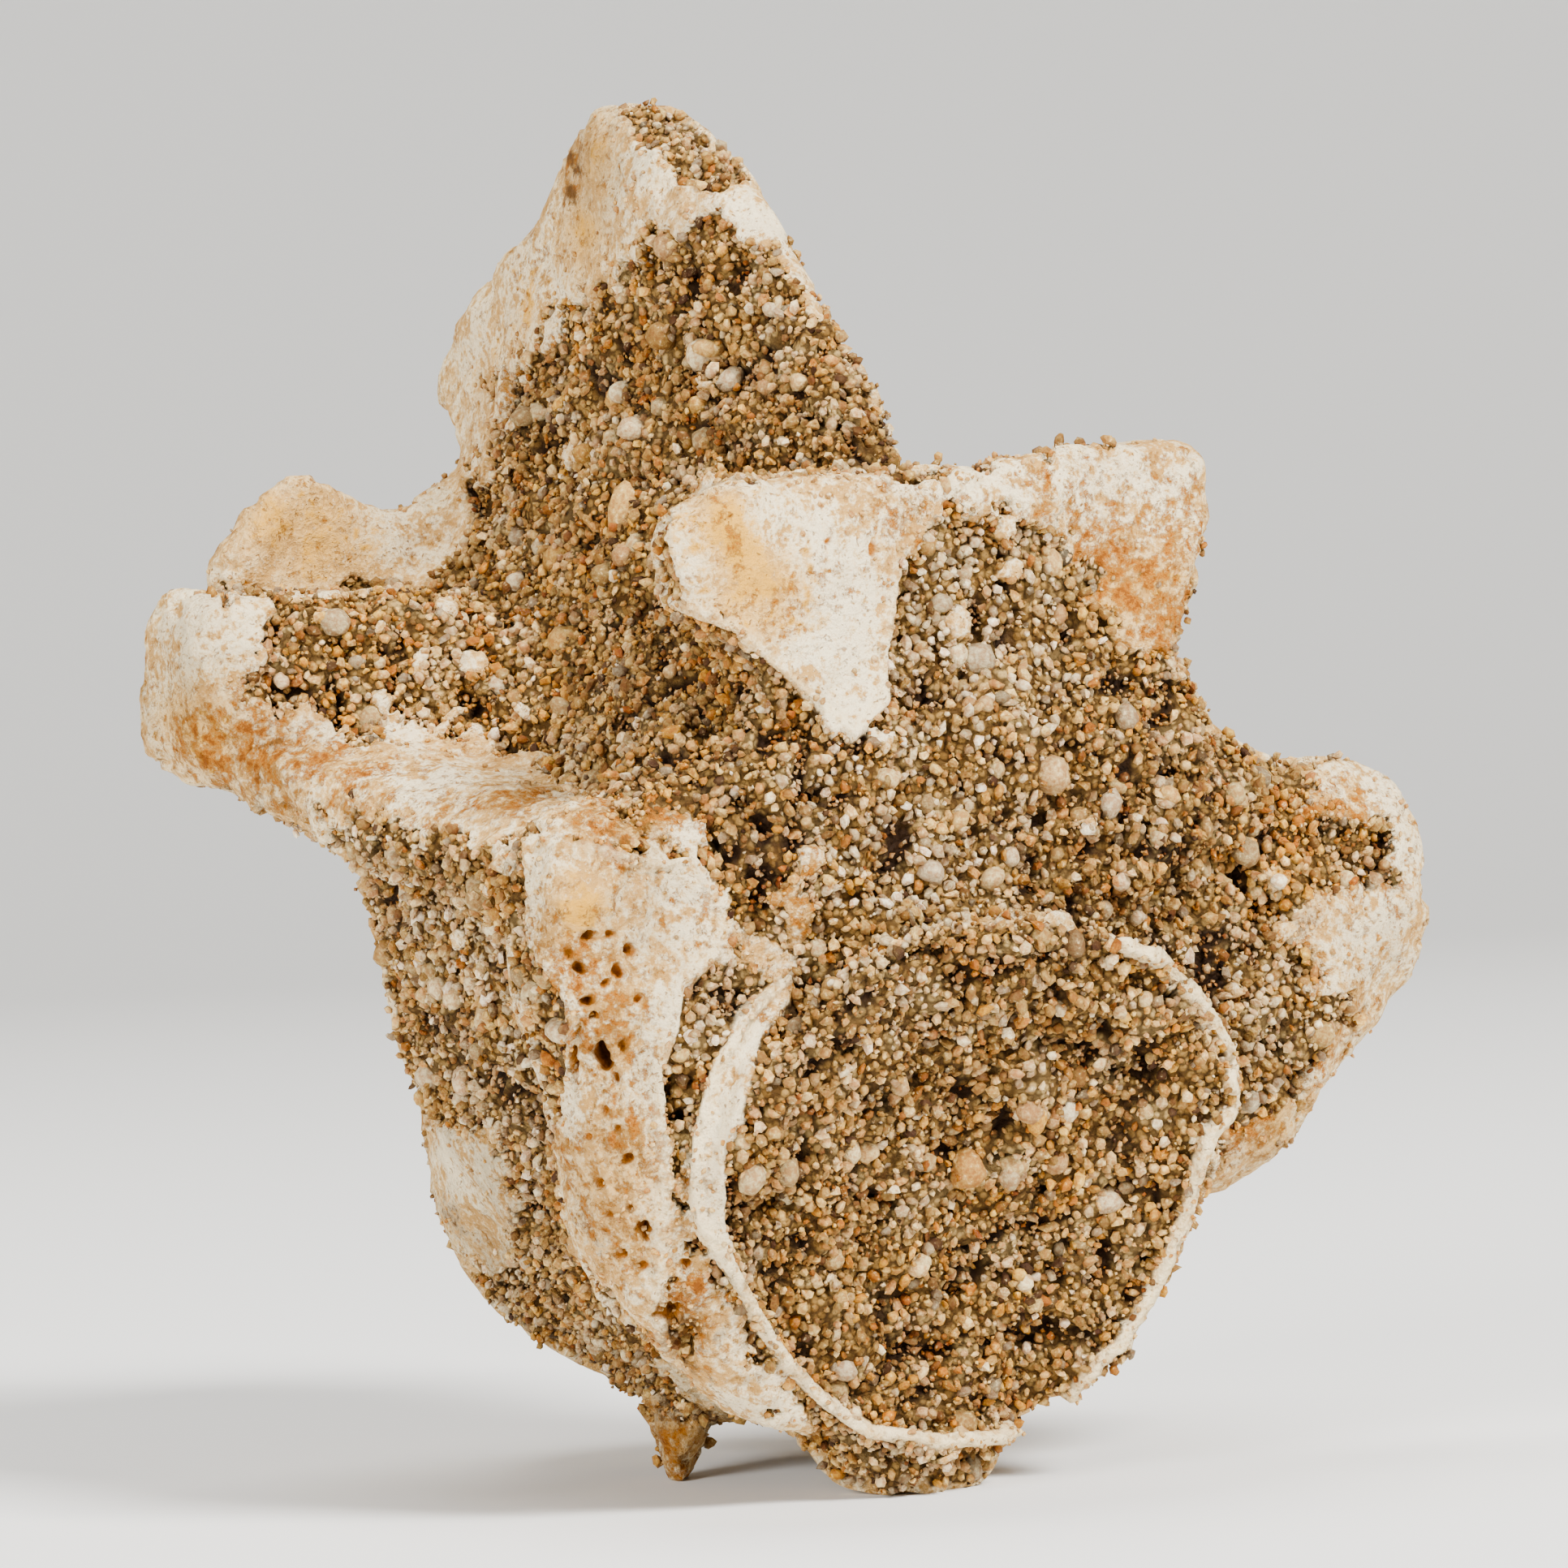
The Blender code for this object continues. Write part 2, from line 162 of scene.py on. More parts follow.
# The fossil's own surface: bone where it shows, and the bed that the sand is cemented to
# The vertebra is phosphate bone, cream to white with rust. Sand filled its hollows on the sea
# floor and was cemented there, so bone and sandstone are one surface with a ragged border.
NET_SIZE = 0.33
BONE_SWELL = 0.05
SAND_SINK = 0.22
LUMP_SIZE = 2.1
LUMP_HEIGHT = 0.34
KNOLL_HEIGHT = 0.20
CLOD_SIZE = 1.0
CREVICE_DEPTH = 0.55
CHIP_DEPTH = 0.20
LAYER_RELIEF = 0.09
WAVE_RELIEF = 0.10
DENT_RELIEF = 0.06
SOFTER_ROUNDS = 60
WARP_SEED = 11
noise.seed_set(WARP_SEED)

# Borders of the bone that shows, in pixels of the photograph, round the form.
WEDGE_LEFT_CHEEK = [
    (822, 640), (850, 606), (880, 590), (960, 584), (1100, 580), (1163, 590), (1168, 640),
    (1125, 680), (1106, 700), (1098, 760), (1088, 804), (1094, 860), (1053, 903), (1030, 894),
    (1003, 862), (968, 827), (903, 771), (828, 742),
]
WEDGE_RIGHT_CHEEK = [
    (1163, 600), (1180, 574), (1315, 545), (1424, 530), (1510, 540), (1510, 620), (1480, 708),
    (1460, 821), (1424, 812), (1380, 769), (1346, 735), (1332, 694), (1292, 662), (1240, 650),
    (1204, 642), (1184, 616),
]
BLADE_BONE = [
    (560, 600), (590, 578), (617, 540), (622, 470), (654, 440), (684, 404), (708, 374),
    (762, 348), (785, 316), (808, 290), (865, 265), (915, 284), (957, 314), (972, 364),
    (1010, 390), (1050, 340), (1000, 190), (900, 95), (680, 90), (600, 280), (500, 400), (500, 520),
]
BLADE_TOP_SAND = [
    (768, 120), (850, 110), (905, 160), (925, 215), (884, 237), (842, 224), (812, 192),
    (782, 172),
]
BACK_PLATE = [
    (230, 705), (280, 640), (300, 590), (374, 560), (440, 590), (497, 620), (566, 580),
    (582, 640), (560, 690), (520, 720), (440, 712), (400, 742), (330, 735), (262, 716),
]
LEFT_WING_END = [
    (217, 700), (160, 763), (150, 830), (160, 940), (190, 980), (248, 995), (359, 1010),
    (390, 1030), (440, 985), (400, 925), (345, 880), (318, 850), (332, 800), (330, 742),
]
SIDE_RIDGE = [
    (320, 870), (380, 882), (440, 905), (500, 890), (560, 905), (640, 925), (690, 965),
    (740, 980), (790, 990), (836, 1004), (862, 1030), (858, 1056), (800, 1050), (740, 1040),
    (700, 1046), (650, 1035), (600, 1050), (520, 1035), (450, 1005), (390, 1022), (300, 1000),
]
KNOB_BRIDGE = [
    (876, 1108), (905, 1122), (950, 1140), (978, 1160), (972, 1200), (940, 1196), (905, 1172),
    (872, 1186), (850, 1170),
]
CANAL_BAND = [
    (992, 1034), (1012, 1040), (1004, 1080), (996, 1130), (990, 1170), (966, 1180), (950, 1140),
    (960, 1090), (976, 1060),
]
RIB_KNOB = [
    (641, 1028), (700, 1030), (767, 1050), (828, 1062), (858, 1058), (884, 1094), (900, 1140),
    (880, 1186), (842, 1215), (834, 1263), (815, 1320), (819, 1377), (828, 1450), (830, 1540),
    (822, 1614), (832, 1663), (865, 1705), (915, 1740), (953, 1750), (991, 1725), (1010, 1760),
    (960, 1790), (900, 1765), (840, 1720), (811, 1660), (792, 1633), (754, 1594), (708, 1549),
    (681, 1480), (689, 1363), (696, 1299), (696, 1235), (667, 1203), (651, 1159),
]
BALL_SIDE = [
    (500, 1360), (523, 1379), (590, 1404), (622, 1442), (640, 1490), (636, 1540), (610, 1570),
    (560, 1560), (490, 1420),
]
SPINE_TIP = [
    (800, 1735), (830, 1745), (870, 1750), (890, 1775), (870, 1840), (800, 1840), (790, 1780),
]
RIGHT_WING_EDGE = [
    (1588, 968), (1650, 928), (1700, 940), (1780, 960), (1790, 1117), (1750, 1240), (1680, 1340),
    (1620, 1420), (1480, 1490), (1478, 1440), (1512, 1380), (1560, 1372), (1596, 1355),
    (1622, 1312), (1652, 1258), (1672, 1222), (1612, 1205), (1590, 1150), (1610, 1104),
    (1690, 1092), (1712, 1050), (1704, 1016), (1650, 1002), (1600, 1006),
]
RIM_LEFT_BAND = [
    (966, 1205), (925, 1244), (882, 1312), (858, 1397), (853, 1480), (866, 1540), (900, 1580),
    (912, 1560), (895, 1500), (894, 1435), (917, 1358), (937, 1282), (982, 1215),
]
LOWER_CHEEK = [
    (830, 1540), (870, 1560), (905, 1620), (940, 1680), (985, 1722), (950, 1760), (900, 1745),
    (850, 1700), (822, 1650), (815, 1600),
]
RIM_GAP = [(832, 1420), (860, 1400), (855, 1480), (866, 1560), (826, 1600), (820, 1500)]
# Each border with how far it wanders in and out, in pixels.
BONE_BORDERS = [
    (WEDGE_LEFT_CHEEK, 16), (WEDGE_RIGHT_CHEEK, 36), (BLADE_BONE, 34), (BACK_PLATE, 12),
    (LEFT_WING_END, 34), (SIDE_RIDGE, 38), (RIB_KNOB, 9), (BALL_SIDE, 30), (SPINE_TIP, 20),
    (RIGHT_WING_EDGE, 34), (RIM_LEFT_BAND, 6), (LOWER_CHEEK, 40), (RIM_GAP, 46),
    (KNOB_BRIDGE, 34), (CANAL_BAND, 34),
]
UNSEEN_RAGGED = 26
# Small bits of bone that show through the sand: across, down and radius in pixels.
BONE_FLECKS = [
    (519, 818, 15), (584, 816, 18), (470, 856, 10), (640, 876, 12), (556, 742, 14), (470, 770, 9),
    (1093, 905, 12), (1345, 1016, 9), (1575, 1085, 12), (1402, 1008, 8), (990, 992, 8),
    (1186, 772, 20), (1250, 700, 8), (690, 1000, 14), (1530, 1222, 12), (1620, 1220, 10),
    (640, 1240, 9), (560, 1160, 10), (600, 1100, 10), (860, 470, 9), (700, 560, 8),
    (862, 1390, 12), (846, 1500, 12), (1070, 1780, 12), (1180, 1792, 10),
]

# Thin raised edges of bone, in pixels of the photograph: path, half width and height in mm.
CUP_LIP = [
    (866, 1500), (896, 1556), (926, 1614), (964, 1675), (1010, 1721), (1072, 1763),
    (1156, 1780), (1230, 1768), (1310, 1722), (1375, 1655), (1425, 1570), (1455, 1500),
    (1468, 1454), (1487, 1397), (1512, 1358), (1508, 1301), (1487, 1255), (1457, 1217),
    (1422, 1182), (1376, 1163),
]
KNOB_EDGE = [
    (713, 1045), (767, 1056), (790, 1069), (828, 1070), (855, 1064), (878, 1094), (893, 1140),
    (874, 1182), (836, 1213), (828, 1263), (809, 1320), (813, 1377), (822, 1450), (815, 1540),
    (811, 1614), (819, 1663), (857, 1713), (911, 1751), (953, 1766),
]
BAND_EDGE = [(966, 1209), (927, 1244), (885, 1312), (862, 1397), (858, 1480), (870, 1530)]
CHEEK_EDGE = [
    (830, 742), (903, 771), (968, 827), (1003, 862), (1053, 900), (1092, 862), (1086, 804),
    (1096, 760), (1104, 700),
]
KNOB_TOP_EDGE = [(738, 1050), (770, 1058), (800, 1066), (850, 1060)]
RAISED_EDGES = [
    (CUP_LIP, 0.24, 0.30), (KNOB_EDGE, 0.22, 0.08),
    (BAND_EDGE, 0.22, 0.18), (CHEEK_EDGE, 0.18, 0.10), (KNOB_TOP_EDGE, 0.13, 0.16),
]
# Grooves in the bone: path, half width and depth in mm.
GROOVES = [
    ([(716, 1262), (706, 1300), (708, 1360)], 0.12, 0.16),
    ([(700, 1380), (712, 1460), (722, 1520)], 0.10, 0.10),
    ([(744, 1330), (742, 1380), (748, 1440)], 0.09, 0.09),
    ([(792, 1250), (782, 1300), (784, 1380), (792, 1450)], 0.10, 0.10),
    ([(895, 1250), (872, 1300), (856, 1370)], 0.08, 0.10),
    ([(926, 1262), (902, 1320), (890, 1390)], 0.08, 0.08),
    ([(784, 1072), (776, 1095), (764, 1114)], 0.45, 0.22),
    ([(780, 1074), (828, 1075)], 0.10, 0.25),
    ([(760, 1330), (764, 1400), (756, 1470)], 0.22, 0.10),
    ([(872, 1290), (850, 1380), (846, 1480), (862, 1560)], 0.16, 0.12),
    ([(905, 1320), (884, 1400), (878, 1480)], 0.09, 0.10),
]

# The larger pores and holes: across, down, half width and half height in pixels, depth in mm.
PORES = [
    (742, 1305, 11, 15, 0.75), (707, 1312, 5, 30, 0.40), (725, 1155, 9, 9, 0.45),
    (776, 1171, 9, 7, 0.35), (763, 1198, 8, 8, 0.35), (715, 1194, 8, 9, 0.40),
    (725, 1234, 10, 8, 0.50), (730, 1251, 8, 6, 0.40), (765, 1286, 6, 8, 0.30),
    (759, 1328, 7, 7, 0.30), (772, 1427, 8, 8, 0.35), (736, 1458, 7, 7, 0.30),
    (775, 1491, 7, 7, 0.30), (794, 1518, 11, 11, 0.60), (827, 1617, 17, 14, 0.60),
    (857, 1652, 14, 9, 0.55), (846, 1560, 8, 12, 0.40), (1075, 676, 5, 12, 0.25),
    (1020, 667, 6, 5, 0.20), (962, 665, 6, 5, 0.20), (745, 1370, 6, 6, 0.25),
    (728, 1400, 6, 5, 0.22), (760, 1392, 5, 6, 0.22), (748, 1500, 6, 6, 0.25),
    (722, 1510, 5, 5, 0.20), (785, 1232, 6, 6, 0.25), (745, 1212, 6, 6, 0.25),
    (700, 1175, 5, 6, 0.20), (752, 1150, 5, 5, 0.20), (790, 1560, 7, 7, 0.30),
    (765, 1545, 6, 6, 0.25),
]
HOLLOWS = [
    (781, 391, 14, 34, 0.9), (770, 441, 20, 14, 0.6), (964, 1491, 24, 10, 0.8),
    (964, 1529, 14, 9, 0.6), (997, 1570, 14, 10, 0.6), (1014, 1594, 12, 9, 0.5),
    (1052, 1591, 12, 9, 0.5), (351, 809, 14, 14, 0.5), (424, 809, 18, 20, 0.7),
    (374, 790, 12, 10, 0.4), (846, 1650, 20, 26, 0.5), (920, 1705, 22, 12, 0.25),
    (872, 884, 42, 30, 0.9),
    (600, 700, 16, 26, 0.5), (1010, 980, 16, 14, 0.4), (1180, 900, 18, 12, 0.4),
    (1350, 1200, 40, 16, 0.5), (1530, 1080, 30, 18, 0.5), (560, 810, 18, 14, 0.4),
]

# Stains: across, down, radius in pixels, strength.
YELLOW_STAINS = [
    (712, 1112, 34, 1.0), (690, 1148, 20, 0.9), (790, 1005, 50, 0.6), (400, 660, 90, 0.6),
    (650, 380, 60, 0.6), (600, 460, 50, 0.5), (720, 280, 60, 0.6), (905, 665, 56, 1.0),
    (1590, 1060, 70, 0.6), (1395, 730, 80, 0.5), (240, 900, 80, 0.5), (930, 725, 56, 0.8),
    (1140, 660, 40, 0.4), (1560, 1390, 50, 0.5), (760, 1450, 80, 0.4), (340, 640, 60, 0.6),
    (730, 190, 60, 0.5),
]
ORANGE_STAINS = [
    (1360, 690, 60, 1.1), (1290, 600, 50, 0.8), (1400, 620, 60, 0.6), (1440, 780, 60, 1.0),
    (1640, 1010, 60, 1.1), (1700, 1090, 50, 0.9), (1580, 1240, 60, 1.0), (1170, 640, 40, 1.0),
    (320, 925, 70, 1.1), (430, 975, 50, 0.8), (560, 1000, 50, 0.8), (845, 1600, 40, 1.1),
    (850, 1440, 40, 0.7), (1530, 1390, 40, 0.9), (960, 760, 30, 0.6), (820, 1790, 50, 1.0),
    (903, 655, 34, 0.6), (712, 192, 30, 1.0), (701, 234, 26, 1.0), (250, 925, 60, 1.0),
    (380, 935, 60, 1.0), (460, 950, 50, 0.8), (540, 960, 60, 0.5), (800, 985, 60, 1.2),
    (750, 1010, 50, 1.2), (1400, 720, 70, 1.0), (1440, 640, 60, 0.9), (1320, 600, 60, 0.7),
    (1010, 720, 40, 0.5), (640, 980, 60, 0.9), (985, 1100, 50, 0.8), (1545, 1395, 36, 1.0),
    (940, 1240, 40, 0.6), (640, 480, 40, 1.0), (1120, 640, 50, 0.6), (700, 1190, 60, 0.8),
    (730, 1270, 60, 0.9), (780, 1400, 60, 0.7), (740, 1520, 60, 0.5), (830, 1640, 50, 1.0),
    (820, 1770, 40, 1.0), (1700, 1110, 60, 0.5), (1600, 1060, 50, 1.0), (690, 440, 40, 0.9),
    (720, 130, 50, 0.8), (860, 1130, 40, 0.4), (560, 1560, 80, 0.6), (690, 1420, 50, 0.7),
    (850, 1010, 40, 1.0), (1450, 780, 50, 1.0), (660, 330, 50, 0.5), (180, 830, 40, 0.5),
    (1640, 1300, 60, 0.6),
]
BROWN_STAINS = [
    (845, 1630, 40, 1.0), (850, 1680, 30, 0.8), (850, 1450, 24, 0.6), (1165, 640, 30, 0.5),
    (712, 192, 26, 1.0), (701, 236, 22, 1.0), (820, 150, 50, 0.7), (820, 1740, 50, 0.5),
    (720, 150, 50, 0.6), (860, 110, 40, 0.5), (560, 1500, 60, 0.5), (800, 1010, 60, 0.5),
    (330, 930, 60, 0.35), (740, 1540, 60, 0.4), (1600, 1130, 40, 0.5),
]
DUSTY = [
    (1110, 690, 40, 0.9), (1090, 800, 34, 0.8), (1640, 985, 50, 1.1), (1700, 1030, 40, 0.9),
    (700, 400, 50, 0.9), (640, 470, 40, 0.8), (770, 330, 50, 0.7), (1600, 1230, 50, 0.9),
    (920, 1150, 50, 1.1), (985, 1100, 60, 1.1), (850, 1430, 50, 1.0), (850, 1540, 50, 0.9),
    (1640, 1120, 70, 0.8), (300, 860, 50, 0.5), (1300, 640, 70, 0.9), (1170, 620, 40, 1.2),
    (1140, 640, 50, 1.0), (1010, 598, 60, 0.7), (1100, 598, 60, 0.8), (1250, 600, 70, 0.5),
    (1380, 700, 90, 0.6), (1620, 1050, 80, 0.9), (560, 930, 80, 0.5), (450, 930, 60, 0.4),
    (760, 1480, 60, 0.5), (770, 1560, 50, 0.6), (820, 1480, 60, 0.8), (830, 1620, 50, 0.8),
    (640, 450, 60, 0.7), (780, 270, 60, 0.5), (1550, 1390, 60, 0.7), (640, 1420, 60, 0.5),
    (740, 1640, 60, 0.5), (390, 880, 60, 0.5), (840, 1560, 50, 0.7), (800, 990, 70, 1.2),
    (720, 1000, 60, 1.0), (860, 1010, 50, 1.0),
]
WHITE_STAINS = [
    (885, 1400, 50, 1.6), (880, 1480, 50, 1.6), (930, 1290, 40, 1.5), (900, 1560, 40, 1.4),
    (460, 640, 60, 0.7), (1420, 600, 50, 0.8), (1330, 570, 60, 0.9), (700, 380, 40, 0.8),
    (650, 370, 60, 1.1), (1650, 1340, 50, 1.1), (1700, 960, 50, 1.0), (1760, 1080, 40, 1.0),
    (1560, 1440, 60, 0.8), (700, 1350, 40, 0.7), (920, 1740, 50, 1.1), (830, 1250, 40, 1.0),
    (1440, 600, 40, 0.7), (1240, 600, 50, 0.9), (670, 1080, 30, 0.7), (930, 1270, 40, 1.2),
    (1025, 740, 60, 1.0), (789, 203, 30, 0.9), (940, 270, 50, 1.2), (230, 780, 60, 0.8),
    (290, 800, 40, 0.7), (540, 960, 50, 1.0), (590, 1440, 50, 0.9), (1690, 1150, 60, 0.8),
    (1730, 1060, 40, 0.9), (1060, 860, 40, 1.2), (870, 1380, 60, 1.2), (850, 1100, 40, 0.9),
    (590, 440, 50, 0.9), (1400, 560, 60, 0.6), (960, 640, 50, 0.7), (1180, 600, 60, 0.8),
    (880, 1440, 50, 1.2), (900, 1300, 40, 0.9), (470, 900, 40, 0.6), (330, 600, 40, 0.8),
    (845, 680, 44, 1.1), (1010, 690, 60, 0.9), (1030, 800, 60, 1.1), (1050, 870, 50, 1.2),
    (230, 750, 60, 1.0), (850, 1050, 40, 0.9), (560, 1430, 60, 1.2),
]
# Patches where the bone is darker, multiplied toward grey-brown: across, down, radius in pixels,
# strength.
DARKER_BONE_PATCHES = [
    (780, 1130, 90, 0.40), (760, 1300, 90, 0.36), (750, 1480, 100, 0.26), (240, 830, 90, 0.44),
    (320, 930, 90, 0.36), (730, 190, 90, 0.46), (600, 1450, 90, 0.55), (560, 1400, 60, 0.4),
    (640, 1560, 110, 0.6), (740, 1650, 130, 0.6), (1690, 1150, 90, 0.32),
    (400, 650, 130, 0.20), (830, 1740, 110, 0.5), (840, 1600, 60, 0.3), (900, 1740, 50, 0.2),
    (1560, 1400, 70, 0.3), (1430, 760, 60, 0.1), (180, 880, 60, 0.3), (800, 1760, 90, 0.5),
]
GREY_SAND = [
    (870, 1250, 60, 1.5), (1200, 1050, 110, 0.8), (1200, 800, 120, 1.0), (1250, 900, 90, 0.8),
    (1080, 1180, 90, 0.6),
    (540, 1150, 190, 1.0), (600, 1300, 150, 0.9), (1160, 760, 130, 0.9), (1100, 1080, 130, 0.8),
    (860, 1260, 60, 0.8), (860, 180, 60, 0.9), (1540, 1260, 90, 0.7), (1240, 700, 90, 0.6),
    (1010, 960, 90, 0.5), (1300, 1130, 90, 0.4), (1120, 1790, 70, 0.6), (640, 1560, 110, 0.7),
    (740, 1650, 90, 0.5), (1290, 720, 70, 0.9),
]
RUSTY_SAND = [
    (800, 1000, 60, 1.2), (850, 1030, 40, 1.0), (740, 1010, 40, 1.0), (975, 1120, 40, 1.2),
    (690, 830, 60, 0.6), (1340, 900, 60, 0.4), (1420, 1240, 60, 0.5),
    (1560, 1050, 130, 0.8), (1500, 900, 110, 0.6), (620, 850, 160, 0.5), (760, 420, 120, 0.4),
    (880, 900, 80, 0.6), (1010, 1090, 60, 0.9), (1250, 1560, 200, 0.35), (450, 800, 110, 0.6),
    (740, 600, 150, 0.3), (1380, 830, 80, 0.5),
]

# Small pulls on the form where the photograph's outline asks for them: across and down in
# pixels, then how far right, down and toward the camera, and the radius, all in pixels.
PULLS = [
    (698, 190, -15, -2, 0, 55), (596, 350, 13, 4, 0, 42), (285, 655, 20, 6, 0, 45),
    (372, 604, 0, -14, 0, 42), (480, 640, 0, 18, 0, 45), (215, 745, -9, -16, 0, 48),
    (345, 1000, 8, -24, 0, 50), (590, 1545, 26, -14, 0, 80), (728, 1690, -16, 10, 0, 34),
    (1725, 1205, -22, -14, 0, 60), (1680, 1285, -16, -10, 0, 50), (1590, 1380, 12, 10, 0, 42),
    (1215, 1800, -24, -4, 0, 40), (1345, 1655, 20, 26, 0, 60), (700, 1112, -2, 0, 16, 38),
    (800, 1140, 0, 0, -10, 46), (835, 660, -12, -8, 0, 36), (740, 1300, 0, 0, -8, 40),
    (650, 1400, 0, 0, -8, 50), (560, 960, 0, 0, 10, 60), (880, 1000, 0, 0, -12, 50),
    (1060, 1480, 0, 0, 12, 90), (960, 1500, 0, 0, -14, 46), (1290, 1400, 0, 0, 12, 80),
    (885, 1232, 0, 0, 26, 44), (845, 1630, 0, 0, -16, 30), (822, 632, -10, -8, 0, 26),
    (1500, 1080, 0, 0, -12, 60), (1330, 700, 0, 0, -12, 70), (720, 700, 0, 0, 12, 80),
]

cad_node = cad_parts["vertebra"]
skin_shape = bmesh.new()
skin_shape.from_mesh(cad_node.data)
bmesh.ops.scale(skin_shape, verts=skin_shape.verts, vec=(1 / MM, 1 / MM, 1 / MM))
bmesh.ops.remove_doubles(skin_shape, verts=skin_shape.verts, dist=0.001)
skin_mesh = bpy.data.meshes.new("fossil_skin")
skin_shape.to_mesh(skin_mesh)
skin_shape.free()
skin = placed("fossil_skin", skin_mesh)
even_net = skin.modifiers.new("even_net", "REMESH")
even_net.mode = "VOXEL"
even_net.voxel_size = NET_SIZE
soften = skin.modifiers.new("soften", "SMOOTH")
soften.factor = 0.5
soften.iterations = 4


def finished_mesh(piece, name):
    """The mesh of a piece with its modifiers applied."""
    seen = piece.evaluated_get(bpy.context.evaluated_depsgraph_get())
    made = bpy.data.meshes.new_from_object(seen)
    made.name = name
    piece.modifiers.clear()
    return made


net_mesh = finished_mesh(skin, "fossil_net")
skin.data = net_mesh
skin_shape = bmesh.new()
skin_shape.from_mesh(net_mesh)
skin_shape.normal_update()
skin_tree = BVHTree.FromBMesh(skin_shape)


def on_skin(across, down):
    """The place on the fossil that the photograph shows at a pixel, or None."""
    place, turn, face, reach = skin_tree.ray_cast(CAMERA_PLACE, sight_line(across, down))
    return place


net_places = np.array([vert.co for vert in skin_shape.verts])
shifts = np.zeros((len(net_places), 3))
for across, down, right, lower, toward, radius in PULLS:
    middle = on_skin(across, down)
    if middle is None:
        continue
    reach = np.linalg.norm(net_places - np.array(middle), axis=1)
    way = photo_right * right - photo_up * lower + photo_back * toward
    shifts += np.exp(-(reach / (radius * PIXEL_MM)) ** 2)[:, None] * np.array(way * PIXEL_MM)
for vert, place in zip(skin_shape.verts, net_places + shifts):
    vert.co = (place[0], place[1], max(place[2], 0.0))
skin_shape.normal_update()
skin_tree = BVHTree.FromBMesh(skin_shape)


def places_of(shape):
    """The vertices' places and normals in mm."""
    places = np.array([vert.co for vert in shape.verts])
    turns = np.array([vert.normal for vert in shape.verts])
    return places, turns


def seen_by_camera(places, turns):
    """1 where the camera sees the surface, and 0 where it is turned away or hidden."""
    seen = np.zeros(len(places))
    for number, (place, turn) in enumerate(zip(places, turns)):
        start = Vector(place) + Vector(turn) * 0.08
        way = CAMERA_PLACE - start
        if way.normalized().dot(Vector(turn)) < 0.03:
            continue
        if skin_tree.ray_cast(start, way.normalized(), way.length)[0] is None:
            seen[number] = 1.0
    return seen


def depth_inside(border, across, down):
    """How deep each pixel is inside a border, in pixels, and minus how far outside."""
    nearest = np.full(len(across), 1e9)
    inside = np.zeros(len(across), bool)
    for (x1, y1), (x2, y2) in zip(border, border[1:] + border[:1]):
        length = (x2 - x1) ** 2 + (y2 - y1) ** 2
        along = ((across - x1) * (x2 - x1) + (down - y1) * (y2 - y1)) / length
        along = np.clip(along, 0, 1)
        gap = np.hypot(across - x1 - along * (x2 - x1), down - y1 - along * (y2 - y1))
        nearest = np.minimum(nearest, gap)
        crosses = (y1 > down) != (y2 > down)
        if y1 != y2:
            meets = x1 + (down - y1) / (y2 - y1) * (x2 - x1)
            inside ^= crosses & (across < meets)
    return np.where(inside, nearest, -nearest)


def soft_step(low, high, value):
    """0 below low, 1 above high, smooth between."""
    part = np.clip((value - low) / (high - low), 0, 1)
    return part * part * (3 - 2 * part)


def cloud(places, size, octaves=3, shift=0.0):
    """Seeded 3-D cloud noise, about -1 to 1, with features of a size in mm."""
    offset = Vector((shift, shift * 1.7, shift * 0.6))
    return np.array([
        noise.fractal(Vector(place) / size + offset, 0.9, 2.0, octaves) for place in places
    ])


def distance_to_path(path, places):
    """How far each place is from a path drawn on the photograph and laid on the fossil."""
    laid = []
    for (x1, y1), (x2, y2) in zip(path, path[1:]):
        count = max(2, int(math.hypot(x2 - x1, y2 - y1) / 4))
        for step in range(count):
            part = step / count
            place = on_skin(x1 + (x2 - x1) * part, y1 + (y2 - y1) * part)
            if place is not None:
                laid.append(place)
    tree = kdtree.KDTree(len(laid))
    for number, place in enumerate(laid):
        tree.insert(place, number)
    tree.balance()
    return np.array([tree.find(place)[2] for place in places])


def spots(stains, places):
    """The strength of stains at each place, 0 to 1."""
    strength = np.zeros(len(places))
    pulled = places + np.array([
        noise.turbulence_vector(Vector(place) / 1.6, 3, False)[:] for place in places
    ]) * 0.55
    for across, down, radius, power in stains:
        middle = on_skin(across, down)
        if middle is None:
            continue
        reach = np.linalg.norm(pulled - np.array(middle), axis=1)
        wide = radius * PIXEL_MM
        strength = np.maximum(strength, power * np.exp(-(reach / wide) ** 2))
    return strength


def bone_depth(places, seen, bulge, wander):
    """How far inside the bone that shows each place is, in pixels of the photograph."""
    across, down = pixels_of(places)
    drawn = np.full(len(places), -1e9)
    for border, ragged in BONE_BORDERS:
        drawn = np.maximum(drawn, depth_inside(border, across, down) + wander * ragged)
    for x, y, radius in BONE_FLECKS:
        gap = radius - np.hypot(across - x, down - y)
        drawn = np.maximum(drawn, np.where(gap > -30, gap + wander * 16, -1e9))
    drawn = np.minimum(drawn, wander * 12 - depth_inside(BLADE_TOP_SAND, across, down))
    unseen = bulge * 60.0 + wander * UNSEEN_RAGGED
    return np.where(seen > 0.5, drawn, unseen)


